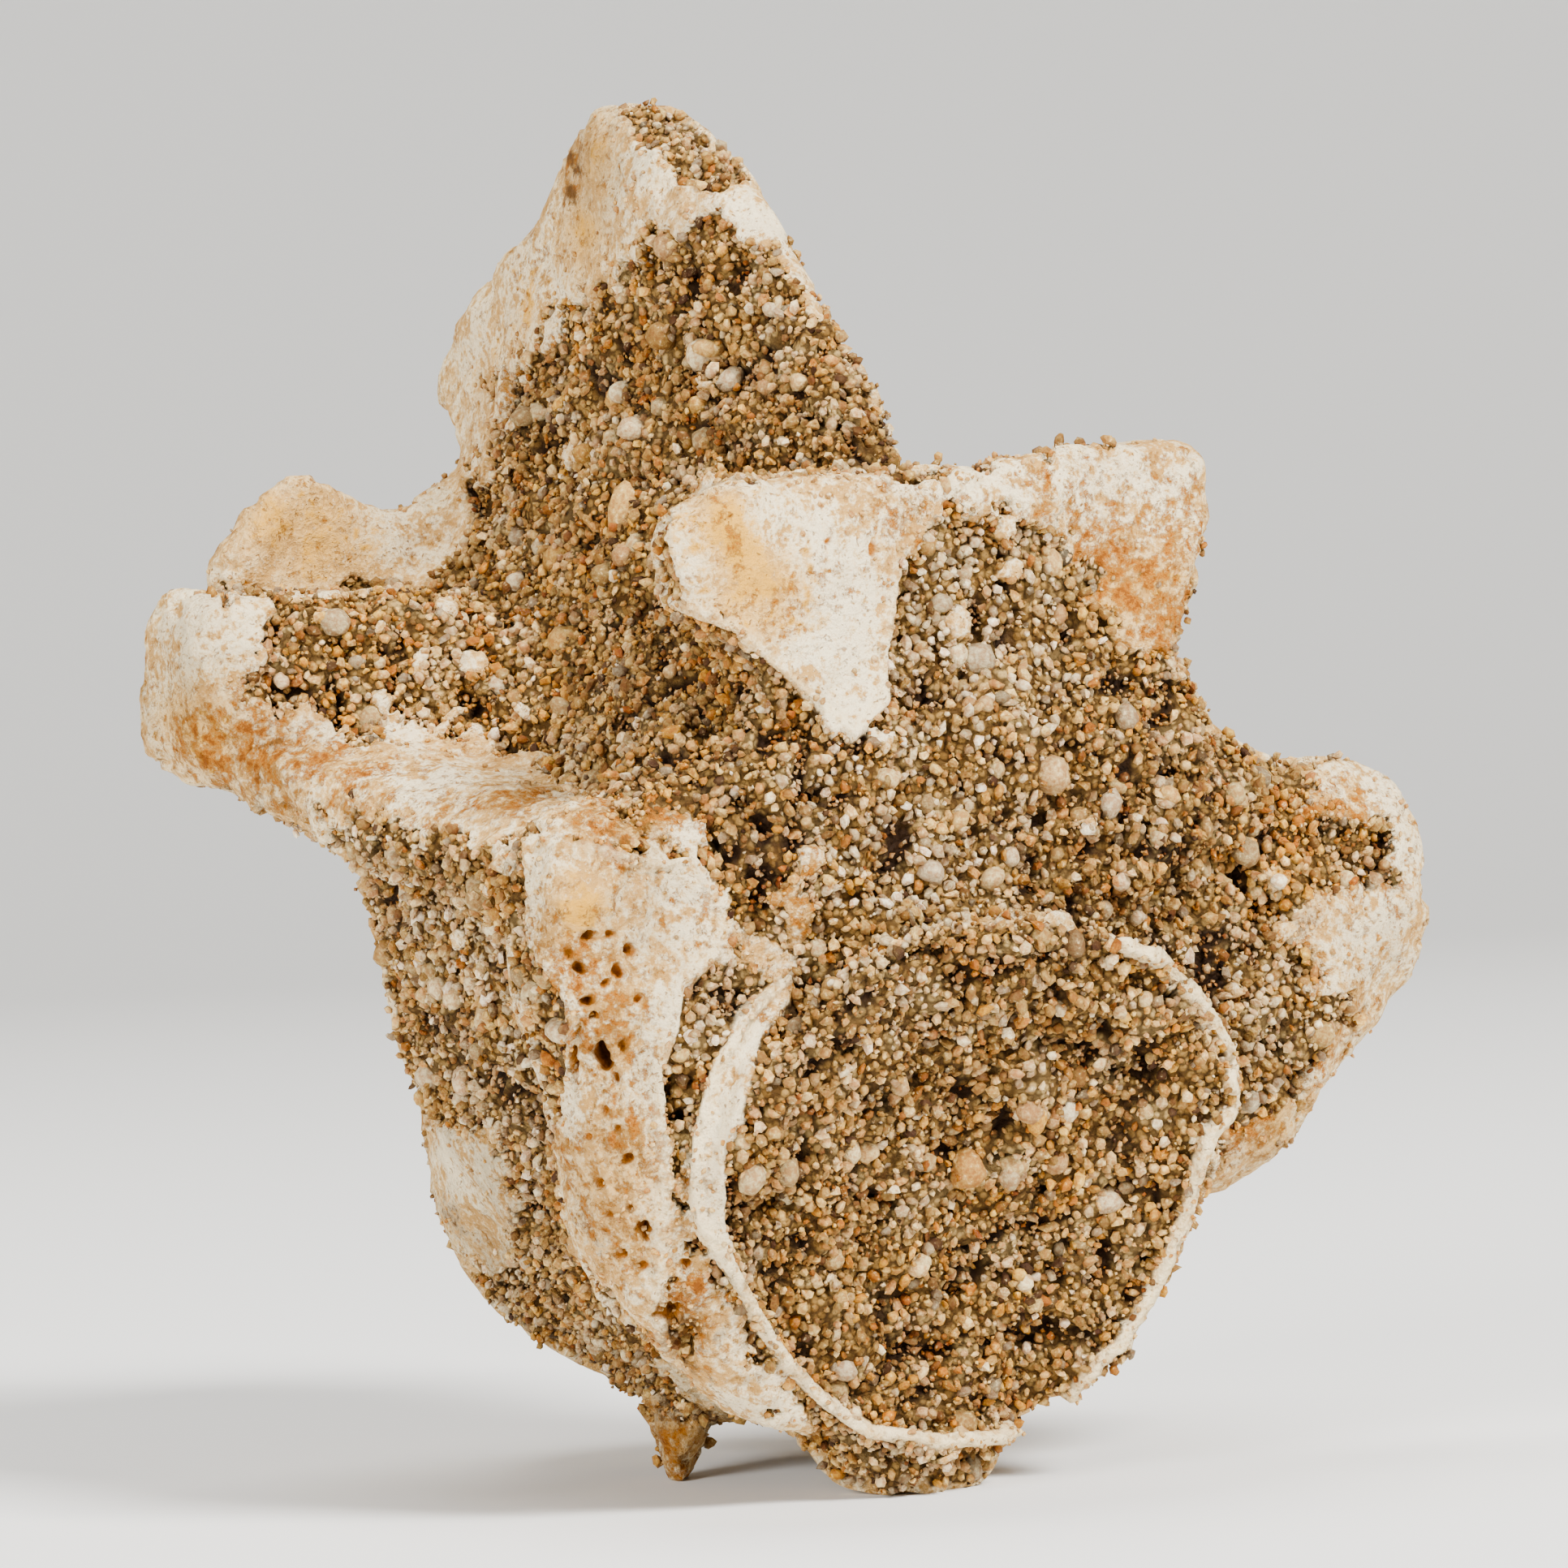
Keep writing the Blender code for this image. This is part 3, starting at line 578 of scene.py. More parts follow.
# Finer faces where the bone shows to the camera, and finer still along its borders.
for fineness in (1, 2):
    skin_shape.verts.ensure_lookup_table()
    places, turns = places_of(skin_shape)
    seen = seen_by_camera(places, turns)
    across, down = pixels_of(places)
    wander = cloud(places, 0.9, 4)
    depth = bone_depth(places, seen, np.zeros(len(places)) - 1, wander)
    edge_gap = np.full(len(places), 1e9)
    for path, half_width, height in RAISED_EDGES:
        edge_gap = np.minimum(edge_gap, distance_to_path(path, places))
    if fineness == 1:
        chosen = (seen > 0.5) & ((depth > -24) | (edge_gap < 0.7))
    else:
        knob = depth_inside(RIB_KNOB, across, down) > 4
        chosen = (seen > 0.5) & ((np.abs(depth) < 8) | (edge_gap < 0.30) | knob)
    whole = {
        face.index for face in skin_shape.faces if all(chosen[vert.index] for vert in face.verts)
    }
    edges = [
        edge for edge in skin_shape.edges if any(face.index in whole for face in edge.link_faces)
    ]
    bmesh.ops.subdivide_edges(skin_shape, edges=edges, cuts=1, use_grid_fill=True)
    bmesh.ops.triangulate(
        skin_shape, faces=[face for face in skin_shape.faces if len(face.verts) > 4]
    )
    skin_shape.verts.index_update()
    skin_shape.faces.index_update()
    skin_shape.normal_update()
for rounds in range(2):
    bmesh.ops.smooth_vert(
        skin_shape, verts=skin_shape.verts, factor=0.5,
        use_axis_x=True, use_axis_y=True, use_axis_z=True,
    )
skin_shape.normal_update()
skin_shape.verts.index_update()

# How far each place stands out from a much softer copy of the form.
places, turns = places_of(skin_shape)
soft_shape = skin_shape.copy()
for rounds in range(SOFTER_ROUNDS):
    bmesh.ops.smooth_vert(
        soft_shape, verts=soft_shape.verts, factor=1.0,
        use_axis_x=True, use_axis_y=True, use_axis_z=True,
    )
soft_places, soft_turns = places_of(soft_shape)
soft_shape.free()
bulge = np.sum((places - soft_places) * turns, axis=1)

# The bone that shows, and the depth of every place in it.
seen = seen_by_camera(places, turns)
across, down = pixels_of(places)
wander = cloud(places, 0.9, 4)
depth = bone_depth(places, seen, bulge - 0.12, wander)
edge_line_gaps = [distance_to_path(path, places) for path, half_width, height in RAISED_EDGES]
bone = soft_step(-3, 3, depth)
lift = np.zeros(len(places))
for gap, (path, half_width, height) in zip(edge_line_gaps, RAISED_EDGES):
    line = 1 - soft_step(half_width * 0.55, half_width * 1.15, gap)
    lift = np.maximum(lift, line * height)
    bone = np.maximum(bone, line)
sand = 1 - bone
groove = np.zeros(len(places))
for path, half_width, deep in GROOVES:
    gap = distance_to_path(path, places)
    groove = np.maximum(groove, (1 - soft_step(0, half_width, gap)) * deep)

# Pores and holes sink in.
pore = np.zeros(len(places))
sink = np.zeros(len(places))
uneven = cloud(places, 0.30, 2, 101.0) * 0.7
for marks in (PORES, HOLLOWS):
    for x, y, half_width, half_height, deep in marks:
        middle = on_skin(x, y)
        if middle is None:
            continue
        near = np.linalg.norm(places - np.array(middle), axis=1) < 1.6
        shape = np.hypot((across - x) / half_width, (down - y) / half_height)
        dip = np.where(near & (seen > 0.5), 1 - soft_step(0.30, 1.25, shape + uneven), 0)
        sink = np.maximum(sink, dip * deep)
        if marks is PORES:
            pore = np.maximum(pore, dip * min(1.0, 0.40 + deep * 0.85))


def crevices(places):
    """How deep each place is in the cracks between the clods of sand, 0 to 1."""
    depth = np.zeros(len(places))
    open_part = cloud(places, 1.4, 2, 41.0)
    for number, place in enumerate(places):
        warp = noise.noise_vector(Vector(place) / 0.8) * 0.35
        gaps = noise.voronoi(Vector(place) / CLOD_SIZE + warp)[0]
        crack = 1 - min(1.0, (gaps[1] - gaps[0]) / 0.30)
        depth[number] = crack * min(1.0, max(0.0, 0.55 + open_part[number] * 1.6))
    return depth


crack = np.zeros(len(places))
crack[sand > 0.05] = crevices(places[sand > 0.05])
lumps = cloud(places, LUMP_SIZE, 3, 5.0)
waves = cloud(places, 1.1, 4, 21.0)
dents = cloud(places, 0.42, 3, 27.0)
chips = soft_step(0.15, 0.5, cloud(places, 0.8, 3, 61.0)) * soft_step(0.08, 0.35, bulge)
layered = np.zeros(len(places))
rib_part = soft_step(0, 30, np.maximum(
    depth_inside(RIB_KNOB, across, down) - (down < 1190) * 1000,
    depth_inside(RIM_LEFT_BAND, across, down) + 20,
)) * seen
on_rib = rib_part > 0
layered[on_rib] = cloud(places[on_rib] * np.array([1.0, 1.0, 0.22]), 0.34, 3, 111.0)
rise = BONE_SWELL + waves * WAVE_RELIEF + dents * DENT_RELIEF
rise = rise + layered * rib_part * LAYER_RELIEF
rise = bone * (rise - chips * CHIP_DEPTH - groove) + lift
knolls = cloud(places, 1.0, 3, 81.0)
rise = rise + sand * (lumps * LUMP_HEIGHT + knolls * KNOLL_HEIGHT - SAND_SINK)
rise = rise - sand * crack * CREVICE_DEPTH
rise = rise - sink
places = places + turns * rise[:, None]
places[:, 2] = np.maximum(places[:, 2], 0.0)

for vert, place in zip(skin_shape.verts, places):
    vert.co = place
for face in skin_shape.faces:
    face.smooth = True
skin_shape.normal_update()
skin_tree = BVHTree.FromBMesh(skin_shape)
final_mesh = bpy.data.meshes.new("fossil_skin")
skin_shape.to_mesh(final_mesh)
skin_shape.free()
skin.data = final_mesh
dusty = spots(DUSTY, places)
skin_marks = {
    "sand": sand,
    "crack": crack,
    "pore": pore,
    "edge": np.clip(lift / 0.2, 0, 1),
    "pale": soft_step(0.10, 0.55, cloud(places, 1.0, 3, 71.0)),
    "dusty": dusty,
    "yellow": spots(YELLOW_STAINS, places),
    "orange": spots(ORANGE_STAINS, places),
    "brown": spots(BROWN_STAINS, places),
    "white": spots(WHITE_STAINS, places),
    "darker_bone": spots(DARKER_BONE_PATCHES, places),
}
for mark_name, mark in skin_marks.items():
    layer = final_mesh.attributes.new(mark_name, "FLOAT", "POINT")
    layer.data.foreach_set("value", mark.astype(np.float32))


def tone(red, green, blue):
    """A colour given as 0 to 255 on a screen, as a shader's colour."""
    made = []
    for part in (red, green, blue):
        part = part / 255
        made.append(part / 12.92 if part <= 0.04045 else ((part + 0.055) / 1.055) ** 2.4)
    return (made[0], made[1], made[2], 1.0)


def add_node(tree, kind, values=None, **settings):
    """A shader node with its settings and its plain inputs."""
    made = tree.nodes.new(kind)
    for name, value in settings.items():
        setattr(made, name, value)
    for name, value in (values or {}).items():
        made.inputs[name].default_value = value
    return made


def mark_value(tree, name):
    """The value of one of the surface's marks."""
    return add_node(tree, "ShaderNodeAttribute", attribute_name=name).outputs["Fac"]


def mm_places(tree):
    """The surface's own coordinates in mm."""
    place = add_node(tree, "ShaderNodeTexCoord")
    mapping = add_node(tree, "ShaderNodeMapping", {"Scale": (1 / MM, 1 / MM, 1 / MM)})
    tree.links.new(place.outputs["Object"], mapping.inputs["Vector"])
    return mapping.outputs["Vector"]


def cloud_node(tree, place, scale, detail=5.0, rough=0.6, warp=0.0):
    """Cloud noise in the shader, with scale in features per mm."""
    made = add_node(tree, "ShaderNodeTexNoise", {
        "Scale": scale, "Detail": detail, "Roughness": rough, "Distortion": warp,
    })
    tree.links.new(place, made.inputs["Vector"])
    return made.outputs["Fac"]


def ramp(tree, value, low, high, start=0.0, end=1.0):
    """A value moved from low..high to start..end, smooth at its ends."""
    made = add_node(tree, "ShaderNodeMapRange", {
        "From Min": low, "From Max": high, "To Min": start, "To Max": end,
    }, interpolation_type="SMOOTHSTEP")
    tree.links.new(value, made.inputs["Value"])
    return made.outputs["Result"]


def worked(tree, first, second, work):
    """Two values worked into one."""
    made = add_node(tree, "ShaderNodeMath", operation=work)
    for socket, value in zip(made.inputs, (first, second)):
        if isinstance(value, (int, float)):
            socket.default_value = value
        else:
            tree.links.new(value, socket)
    return made.outputs["Value"]


def sum_of(tree, first, second):
    """Two values added."""
    return worked(tree, first, second, "ADD")


def product(tree, first, second):
    """Two values multiplied."""
    return worked(tree, first, second, "MULTIPLY")


def blend(tree, part, under, over, kind="MIX"):
    """One colour laid over another by a part of 0 to 1."""
    made = add_node(tree, "ShaderNodeMix", data_type="RGBA", blend_type=kind)
    for socket, value in zip(
        (made.inputs["Factor"], made.inputs[6], made.inputs[7]), (part, under, over)
    ):
        if isinstance(value, (int, float, tuple)):
            socket.default_value = value
        else:
            tree.links.new(value, socket)
    return made.outputs[2]


fossil = bpy.data.materials.new("bone_and_sand_bed")
fossil.use_nodes = True
tree = fossil.node_tree
finish = tree.nodes["Principled BSDF"]
place = mm_places(tree)
patch = cloud_node(tree, place, 0.95, 6.0, 0.62, 0.1)
speckle = cloud_node(tree, place, 3.4, 5.0, 0.65)
grit = cloud_node(tree, place, 9.0, 4.0, 0.6)

mottle = sum_of(tree, product(tree, patch, 0.5), product(tree, speckle, 0.5))
bone_colour = blend(tree, ramp(tree, mottle, 0.43, 0.51), tone(198, 152, 84), tone(226, 186, 122))
white_value = sum_of(tree, product(tree, mark_value(tree, "white"), 0.10), mottle)
white_part = ramp(tree, white_value, 0.49, 0.57)
bone_colour = blend(tree, white_part, bone_colour, tone(248, 230, 188))
bone_colour = blend(tree, ramp(tree, grit, 0.56, 0.66, 0.0, 0.4), bone_colour, tone(255, 240, 204))
bone_colour = blend(tree, ramp(tree, grit, 0.44, 0.34, 0.0, 0.5), bone_colour, tone(184, 128, 58))
yellow_value = sum_of(tree, product(tree, mark_value(tree, "yellow"), 0.26), mottle)
yellow_part = ramp(tree, yellow_value, 0.54, 0.72, 0.0, 0.92)
bone_colour = blend(tree, yellow_part, bone_colour, tone(222, 160, 34))
rust_noise = cloud_node(tree, place, 2.6, 8.0, 0.74, 0.0)
rust_value = sum_of(tree, product(tree, mark_value(tree, "orange"), 0.15), rust_noise)
rust_value = sum_of(tree, rust_value, product(tree, mark_value(tree, "white"), -0.05))
orange_part = ramp(tree, rust_value, 0.545, 0.67, 0.0, 0.95)
bone_colour = blend(tree, orange_part, bone_colour, tone(182, 112, 14))
deep_rust = ramp(tree, rust_value, 0.645, 0.73, 0.0, 0.9)
bone_colour = blend(tree, deep_rust, bone_colour, tone(128, 66, 4))
brown_value = sum_of(tree, product(tree, mark_value(tree, "brown"), 0.30), mottle)
brown_part = ramp(tree, brown_value, 0.58, 0.76)
bone_colour = blend(tree, brown_part, bone_colour, tone(112, 74, 28))
# Raised bone edges are painted paler cream: partly the worn bone of the edges, partly a painted
# highlight along them.
edge_pale_and_highlight = product(tree, mark_value(tree, "edge"), ramp(tree, speckle, 0.25, 0.55))
bone_colour = blend(tree, product(tree, edge_pale_and_highlight, 0.8), bone_colour, tone(255, 232, 182))
# Pores are rust-brown inside, and their deepest middles are painted near-black: painted shade in
# the holes.
pore_part = ramp(tree, mark_value(tree, "pore"), 0.08, 0.45)
bone_colour = blend(tree, pore_part, bone_colour, tone(178, 108, 24))
pore_depth_shade = ramp(tree, mark_value(tree, "pore"), 0.50, 0.95)
bone_colour = blend(tree, pore_depth_shade, bone_colour, tone(84, 40, 3))
cool_part = ramp(tree, cloud_node(tree, place, 0.55, 3.0, 0.5), 0.46, 0.60, 0.0, 0.40)
bone_colour = blend(tree, cool_part, bone_colour, tone(226, 222, 222), "MULTIPLY")
# Darker patches of bone: the colour is multiplied toward grey-brown where these marks lie.
darker_bone_breakup = ramp(tree, patch, 0.30, 0.62, 0.45, 1.0)
darker_bone_value = product(tree, mark_value(tree, "darker_bone"), darker_bone_breakup)
bone_colour = blend(tree, darker_bone_value, bone_colour, tone(112, 100, 80), "MULTIPLY")
small_pores = add_node(tree, "ShaderNodeTexVoronoi", {"Scale": 3.6, "Randomness": 1.0})
pore_place = add_node(tree, "ShaderNodeVectorMath", operation="ADD")
wobble = add_node(tree, "ShaderNodeTexNoise", {"Scale": 2.6, "Detail": 2.0})
tree.links.new(place, wobble.inputs["Vector"])
tree.links.new(place, pore_place.inputs[0])
tree.links.new(wobble.outputs["Color"], pore_place.inputs[1])
tree.links.new(pore_place.outputs["Vector"], small_pores.inputs["Vector"])
tiny = ramp(tree, small_pores.outputs["Distance"], 0.12, 0.24, 1.0, 0.0)
tiny = product(tree, tiny, ramp(tree, patch, 0.46, 0.56))
bone_colour = blend(tree, product(tree, tiny, 0.6), bone_colour, tone(160, 94, 20))

bed_grains = add_node(tree, "ShaderNodeTexVoronoi", {"Scale": 4.2, "Randomness": 1.0})
tree.links.new(place, bed_grains.inputs["Vector"])
bed_pick = add_node(tree, "ShaderNodeSeparateColor")
tree.links.new(bed_grains.outputs["Color"], bed_pick.inputs["Color"])
bed_colour = blend(tree, bed_pick.outputs["Red"], tone(110, 76, 30), tone(170, 132, 70))
# The bed is painted dark brown between its grain cells: painted shade in the gaps between grains.
bed_gap_shade = ramp(tree, bed_grains.outputs["Distance"], 0.30, 0.62, 0.0, 0.8)
pale_bed = product(tree, mark_value(tree, "pale"), 0.6)
bed_colour = blend(tree, pale_bed, bed_colour, tone(214, 184, 120))
bed_colour = blend(tree, bed_gap_shade, bed_colour, tone(52, 30, 4))
# The cracks between the clods are painted near-black: painted shade in the crevices.
crack_shade_part = ramp(tree, mark_value(tree, "crack"), 0.1, 0.7)
bed_colour = blend(tree, crack_shade_part, bed_colour, tone(34, 17, 2))

sand_value = sum_of(tree, mark_value(tree, "sand"), product(tree, speckle, 0.35))
dust_value = product(tree, mark_value(tree, "dusty"), ramp(tree, speckle, 0.50, 0.62))
sand_value = sum_of(tree, sand_value, product(tree, dust_value, 0.5))
sand_part = ramp(tree, sand_value, 0.50, 0.85)
colour = blend(tree, sand_part, bone_colour, bed_colour)
tree.links.new(colour, finish.inputs["Base Color"])
roughness = ramp(tree, patch, 0.3, 0.7, 0.62, 0.82)
tree.links.new(roughness, finish.inputs["Roughness"])
finish.inputs["Specular IOR Level"].default_value = 0.12

relief = sum_of(tree, product(tree, speckle, 1.3), product(tree, grit, 0.7))
relief = sum_of(tree, relief, product(tree, orange_part, -0.25))
relief = sum_of(tree, relief, product(tree, tiny, -0.8))
bed_relief = product(tree, product(tree, bed_grains.outputs["Distance"], -1.6), sand_part)
relief = sum_of(tree, relief, bed_relief)
bump = add_node(tree, "ShaderNodeBump", {"Strength": 0.9, "Distance": 0.00015})
tree.links.new(relief, bump.inputs["Height"])
tree.links.new(bump.outputs["Normal"], finish.inputs["Normal"])
final_mesh.materials.append(fossil)

# The skin's triangles and normals in mm, which the sand is laid on, and then the skin itself
# in metres, in the CAD solid's place.
final_mesh.calc_loop_triangles()
corners = np.empty(len(final_mesh.loop_triangles) * 3, np.int32)
final_mesh.loop_triangles.foreach_get("vertices", corners)
corners = corners.reshape(-1, 3)
turns = np.empty(len(final_mesh.vertices) * 3, np.float32)
final_mesh.vertex_normals.foreach_get("vector", turns)
turns = turns.reshape(-1, 3)
final_mesh.transform(Matrix.Scale(MM, 4))
final_mesh.update()
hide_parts("vertebra")
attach(skin, "root")


# The sand
# Grains of quartz, shell and phosphate, a third of a millimetre across and worn blocky. They lie
# packed in brown cement, in clods with dark cracks between, with finer grains in the gaps.
GRAIN_SEED = 4117
GRAIN_GAP = 0.235
GRAIN_RADIUS = (0.105, 0.235)
TOP_LAYER_SHARE = 0.34
FINE_RADIUS = (0.055, 0.105)
FINE_PER_MM2 = 14.0
STRAY_RADIUS = (0.05, 0.11)
STRAY_PER_MM2 = 10.4
TRIED_PER_MM2 = 44
GLASSY_SHARE = 0.07
GRAIN_TONES = [
    ((172, 140, 74), 34), ((204, 172, 100), 20), ((144, 112, 52), 16), ((232, 202, 134), 9),
    ((170, 112, 26), 6), ((120, 86, 36), 7), ((150, 134, 104), 6), ((246, 228, 178), 4),
    ((74, 48, 14), 4), ((196, 152, 82), 8), ((112, 98, 72), 2),
]
GREY_TONES = [
    ((200, 182, 138), 28), ((222, 208, 168), 20), ((170, 154, 116), 18), ((184, 154, 96), 14),
    ((146, 126, 92), 8), ((250, 238, 206), 14), ((156, 112, 46), 6), ((96, 76, 44), 2),
]
RUST_TONES = [
    ((204, 150, 38), 28), ((172, 110, 14), 14), ((222, 180, 80), 26), ((130, 80, 8), 8),
    ((176, 140, 72), 16), ((230, 196, 120), 8),
]
chance = np.random.RandomState(GRAIN_SEED)
first, second, third = (places[corners[:, side]] for side in range(3))
areas = np.linalg.norm(np.cross(second - first, third - first), axis=1) / 2
sandy = sand[corners].mean(axis=1)
cracked = crack[corners].mean(axis=1)


def strewn(weights, per_mm2):
    """Random places on the surface, with their normals, sand part and crack depth."""
    number = int(weights.sum() * per_mm2)
    picked = chance.choice(len(areas), number, p=weights / weights.sum())
    u, v = chance.rand(2, number)
    flip = u + v > 1
    u = np.where(flip, 1 - u, u)[:, None]
    v = np.where(flip, 1 - v, v)[:, None]
    spots_found = first[picked] + (second - first)[picked] * u + (third - first)[picked] * v
    outward = turns[corners[picked]].mean(axis=1)
    outward = outward / np.linalg.norm(outward, axis=1)[:, None]
    return spots_found, outward, sandy[picked], cracked[picked]


def spread_out(points, gap):
    """The numbers of the points that are kept, so that no two are closer than gap."""
    cells = {}
    kept = []
    span = range(-1, 2)
    around = [(a, b, c) for a in span for b in span for c in span]
    keys = np.floor(points / gap).astype(int)
    points = points.tolist()
    for number, (key, point) in enumerate(zip(map(tuple, keys.tolist()), points)):
        clear = True
        for a, b, c in around:
            for other in cells.get((key[0] + a, key[1] + b, key[2] + c), ()):
                x, y, z = points[other]
                if (x - point[0]) ** 2 + (y - point[1]) ** 2 + (z - point[2]) ** 2 < gap * gap:
                    clear = False
                    break
            if not clear:
                break
        if clear:
            cells.setdefault(key, []).append(number)
            kept.append(number)
    return np.array(kept)


def sizes(limits, number, power):
    """Random radii, more of them small."""
    small, large = limits
    return small + (large - small) * chance.rand(number) ** power


# The first layer, then the grains that stand on it, the finer ones between, and the strays
# that stick to the bone near the sand. A grain whose middle is too far from the skin is left
# out, so that none hangs in the air.
spot_layer, outward, sand_share, crack_share = strewn(areas * (sandy > 0.45), TRIED_PER_MM2)
kept = spread_out(spot_layer, GRAIN_GAP)
spot_layer, outward, crack_share = spot_layer[kept], outward[kept], crack_share[kept]
radius = sizes(GRAIN_RADIUS, len(kept), 1.5)
height = 0.03 + radius * (chance.rand(len(kept)) * 0.70 - 0.20)
stays = (crack_share < 0.45) | (chance.rand(len(kept)) < 0.35)
layers = [tuple(part[stays] for part in (spot_layer, outward, radius, height, crack_share))]
over = (chance.rand(len(kept)) < TOP_LAYER_SHARE) & (crack_share < 0.2)
radius = sizes(GRAIN_RADIUS, over.sum(), 1.8)
height = 0.15 + radius * 0.5
layers.append((
    spot_layer[over] + chance.normal(0, 0.06, (over.sum(), 3)), outward[over], radius, height,
    crack_share[over],
))
large_count = sum(len(layer[0]) for layer in layers)
fine_spots, outward, sand_share, crack_share = strewn(areas * (sandy > 0.35), FINE_PER_MM2)
radius = sizes(FINE_RADIUS, len(fine_spots), 1.0)
height = 0.02 + chance.rand(len(fine_spots)) * 0.13
layers.append((fine_spots, outward, radius, height, crack_share))
near_edge = np.exp(-np.clip(depth, 0, 200) / 9)[corners].mean(axis=1)
dust_share = dusty[corners].mean(axis=1)
edge_seen = near_edge * seen[corners].mean(axis=1)
near_sand = areas * (sandy < 0.45) * (edge_seen * 0.5 + dust_share * 0.7)
stray_spots, outward, sand_share, crack_share = strewn(near_sand, STRAY_PER_MM2)
radius = sizes(STRAY_RADIUS, len(stray_spots), 1.2)
layers.append((stray_spots, outward, radius, radius * 0.3, crack_share))
grain_spots, outward, radius, height, crack_share = (
    np.concatenate([layer[part] for layer in layers]) for part in range(5)
)
order = np.arange(len(radius))
is_stray = order >= large_count + len(fine_spots)
is_fine = (order >= large_count) & ~is_stray
grain_middles = grain_spots + outward * height[:, None]
above_floor = grain_middles[:, 2] > radius * 1.3
gaps_to_skin = np.array([skin_tree.find_nearest(Vector(middle))[3] for middle in grain_middles])
held = np.where(order < large_count, radius * 0.5 + 0.17, radius * 0.7 + 0.06)
good = above_floor & (gaps_to_skin < held)
grain_middles, outward, radius = grain_middles[good], outward[good], radius[good]
crack_share, is_fine, is_stray = crack_share[good], is_fine[good], is_stray[good]
count = len(radius)

grey_part = spots(GREY_SAND, grain_middles)
rust_part = spots(RUSTY_SAND, grain_middles)
drift = cloud(grain_middles, 4.0, 2, 33.0)
patches = cloud(grain_middles, 1.3, 3, 51.0)
pale_share = soft_step(0.10, 0.55, cloud(grain_middles, 1.0, 3, 71.0))[:, None]


def pick_tones(tones, number):
    """Random colours from weighted tones."""
    shares = np.array([share for colour, share in tones], float)
    choice = chance.choice(len(tones), number, p=shares / shares.sum())
    return np.array([tone(*colour)[:3] for colour, share in tones])[choice]


grain_colours = pick_tones(GRAIN_TONES, count)
grey_colours = pick_tones(GREY_TONES, count)
rust_colours = pick_tones(RUST_TONES, count)
use_grey = chance.rand(count) < grey_part * 0.9 + np.clip(drift, 0, 1) * 0.35
use_rust = chance.rand(count) < rust_part * 0.8 + np.clip(-drift, 0, 1) * 0.25
grain_colours = np.where(use_rust[:, None], rust_colours, grain_colours)
grain_colours = np.where(use_grey[:, None], grey_colours, grain_colours)
grain_colours = grain_colours * (0.88 + 0.24 * chance.rand(count))[:, None]
grain_colours = grain_colours * (1 + 0.22 * patches)[:, None]
cream = np.array(tone(240, 220, 172)[:3])
pale_share = pale_share * (0.5 + 0.3 * np.clip(grey_part, 0, 1)[:, None])
grain_colours = grain_colours + (cream - grain_colours) * pale_share
# Grains that lie in the cracks are painted darker and browner: painted shade in the crevices.
deep = np.clip(crack_share * 1.3, 0, 1)[:, None]
grain_colours = grain_colours * (1 - deep * np.array([0.45, 0.62, 0.76]))
bone_dust = np.array(tone(226, 190, 124)[:3])
mixed = np.where(is_stray, 0.2 + 0.6 * chance.rand(count), 0)[:, None]
grain_colours = grain_colours + (bone_dust - grain_colours) * mixed
rust_film = soft_step(0.12, 0.5, cloud(grain_middles, 0.8, 3, 91.0))[:, None]
grain_colours = grain_colours * (1 - rust_film * np.array([0.06, 0.24, 0.62]))
glassy = (chance.rand(count) < GLASSY_SHARE) * 1.0

# Worn grain shapes: balls of 20 faces with their corners pushed in and out and flats cut on
# them, and for the fine grains balls of 8 faces. Some are smooth and the others have edges.
LARGE_FORMS = 6
ALL_FORMS = 9
SMOOTH_FORMS = (0, 1, 6, 7)
grain_forms = []
for form in range(ALL_FORMS):
    ball = bmesh.new()
    if form < LARGE_FORMS:
        bmesh.ops.create_icosphere(ball, subdivisions=1, radius=1.0)
    else:
        bmesh.ops.create_uvsphere(ball, u_segments=4, v_segments=2, radius=1.0)
    bmesh.ops.triangulate(ball, faces=ball.faces)
    ball.verts.ensure_lookup_table()
    ball_places = np.array([vert.co for vert in ball.verts])
    ball_places = ball_places * (0.80 + 0.40 * chance.rand(len(ball_places)))[:, None]
    for cut in range(3):
        side = chance.normal(0, 1, 3)
        side = side / np.linalg.norm(side)
        over_cut = np.clip(ball_places @ side - (0.42 + 0.30 * chance.rand()), 0, None)
        ball_places = ball_places - over_cut[:, None] * side
    ball_faces = np.array([[vert.index for vert in face.verts] for face in ball.faces])
    ball.free()
    grain_forms.append((ball_places, ball_faces))

stretch = 0.62 + 0.80 * chance.rand(count, 3)
stretch = stretch / stretch.mean(axis=1)[:, None]
spin = chance.normal(0, 1, (count, 4))
spin = spin / np.linalg.norm(spin, axis=1)[:, None]
w, x, y, z = spin.T
turn_rows = np.stack([
    np.stack([1 - 2 * (y * y + z * z), 2 * (x * y - z * w), 2 * (x * z + y * w)], axis=1),
    np.stack([2 * (x * y + z * w), 1 - 2 * (x * x + z * z), 2 * (y * z - x * w)], axis=1),
    np.stack([2 * (x * z - y * w), 2 * (y * z + x * w), 1 - 2 * (x * x + y * y)], axis=1),
], axis=1)
form_of = np.where(
    is_fine, chance.randint(LARGE_FORMS, ALL_FORMS, count), chance.randint(0, LARGE_FORMS, count),
)

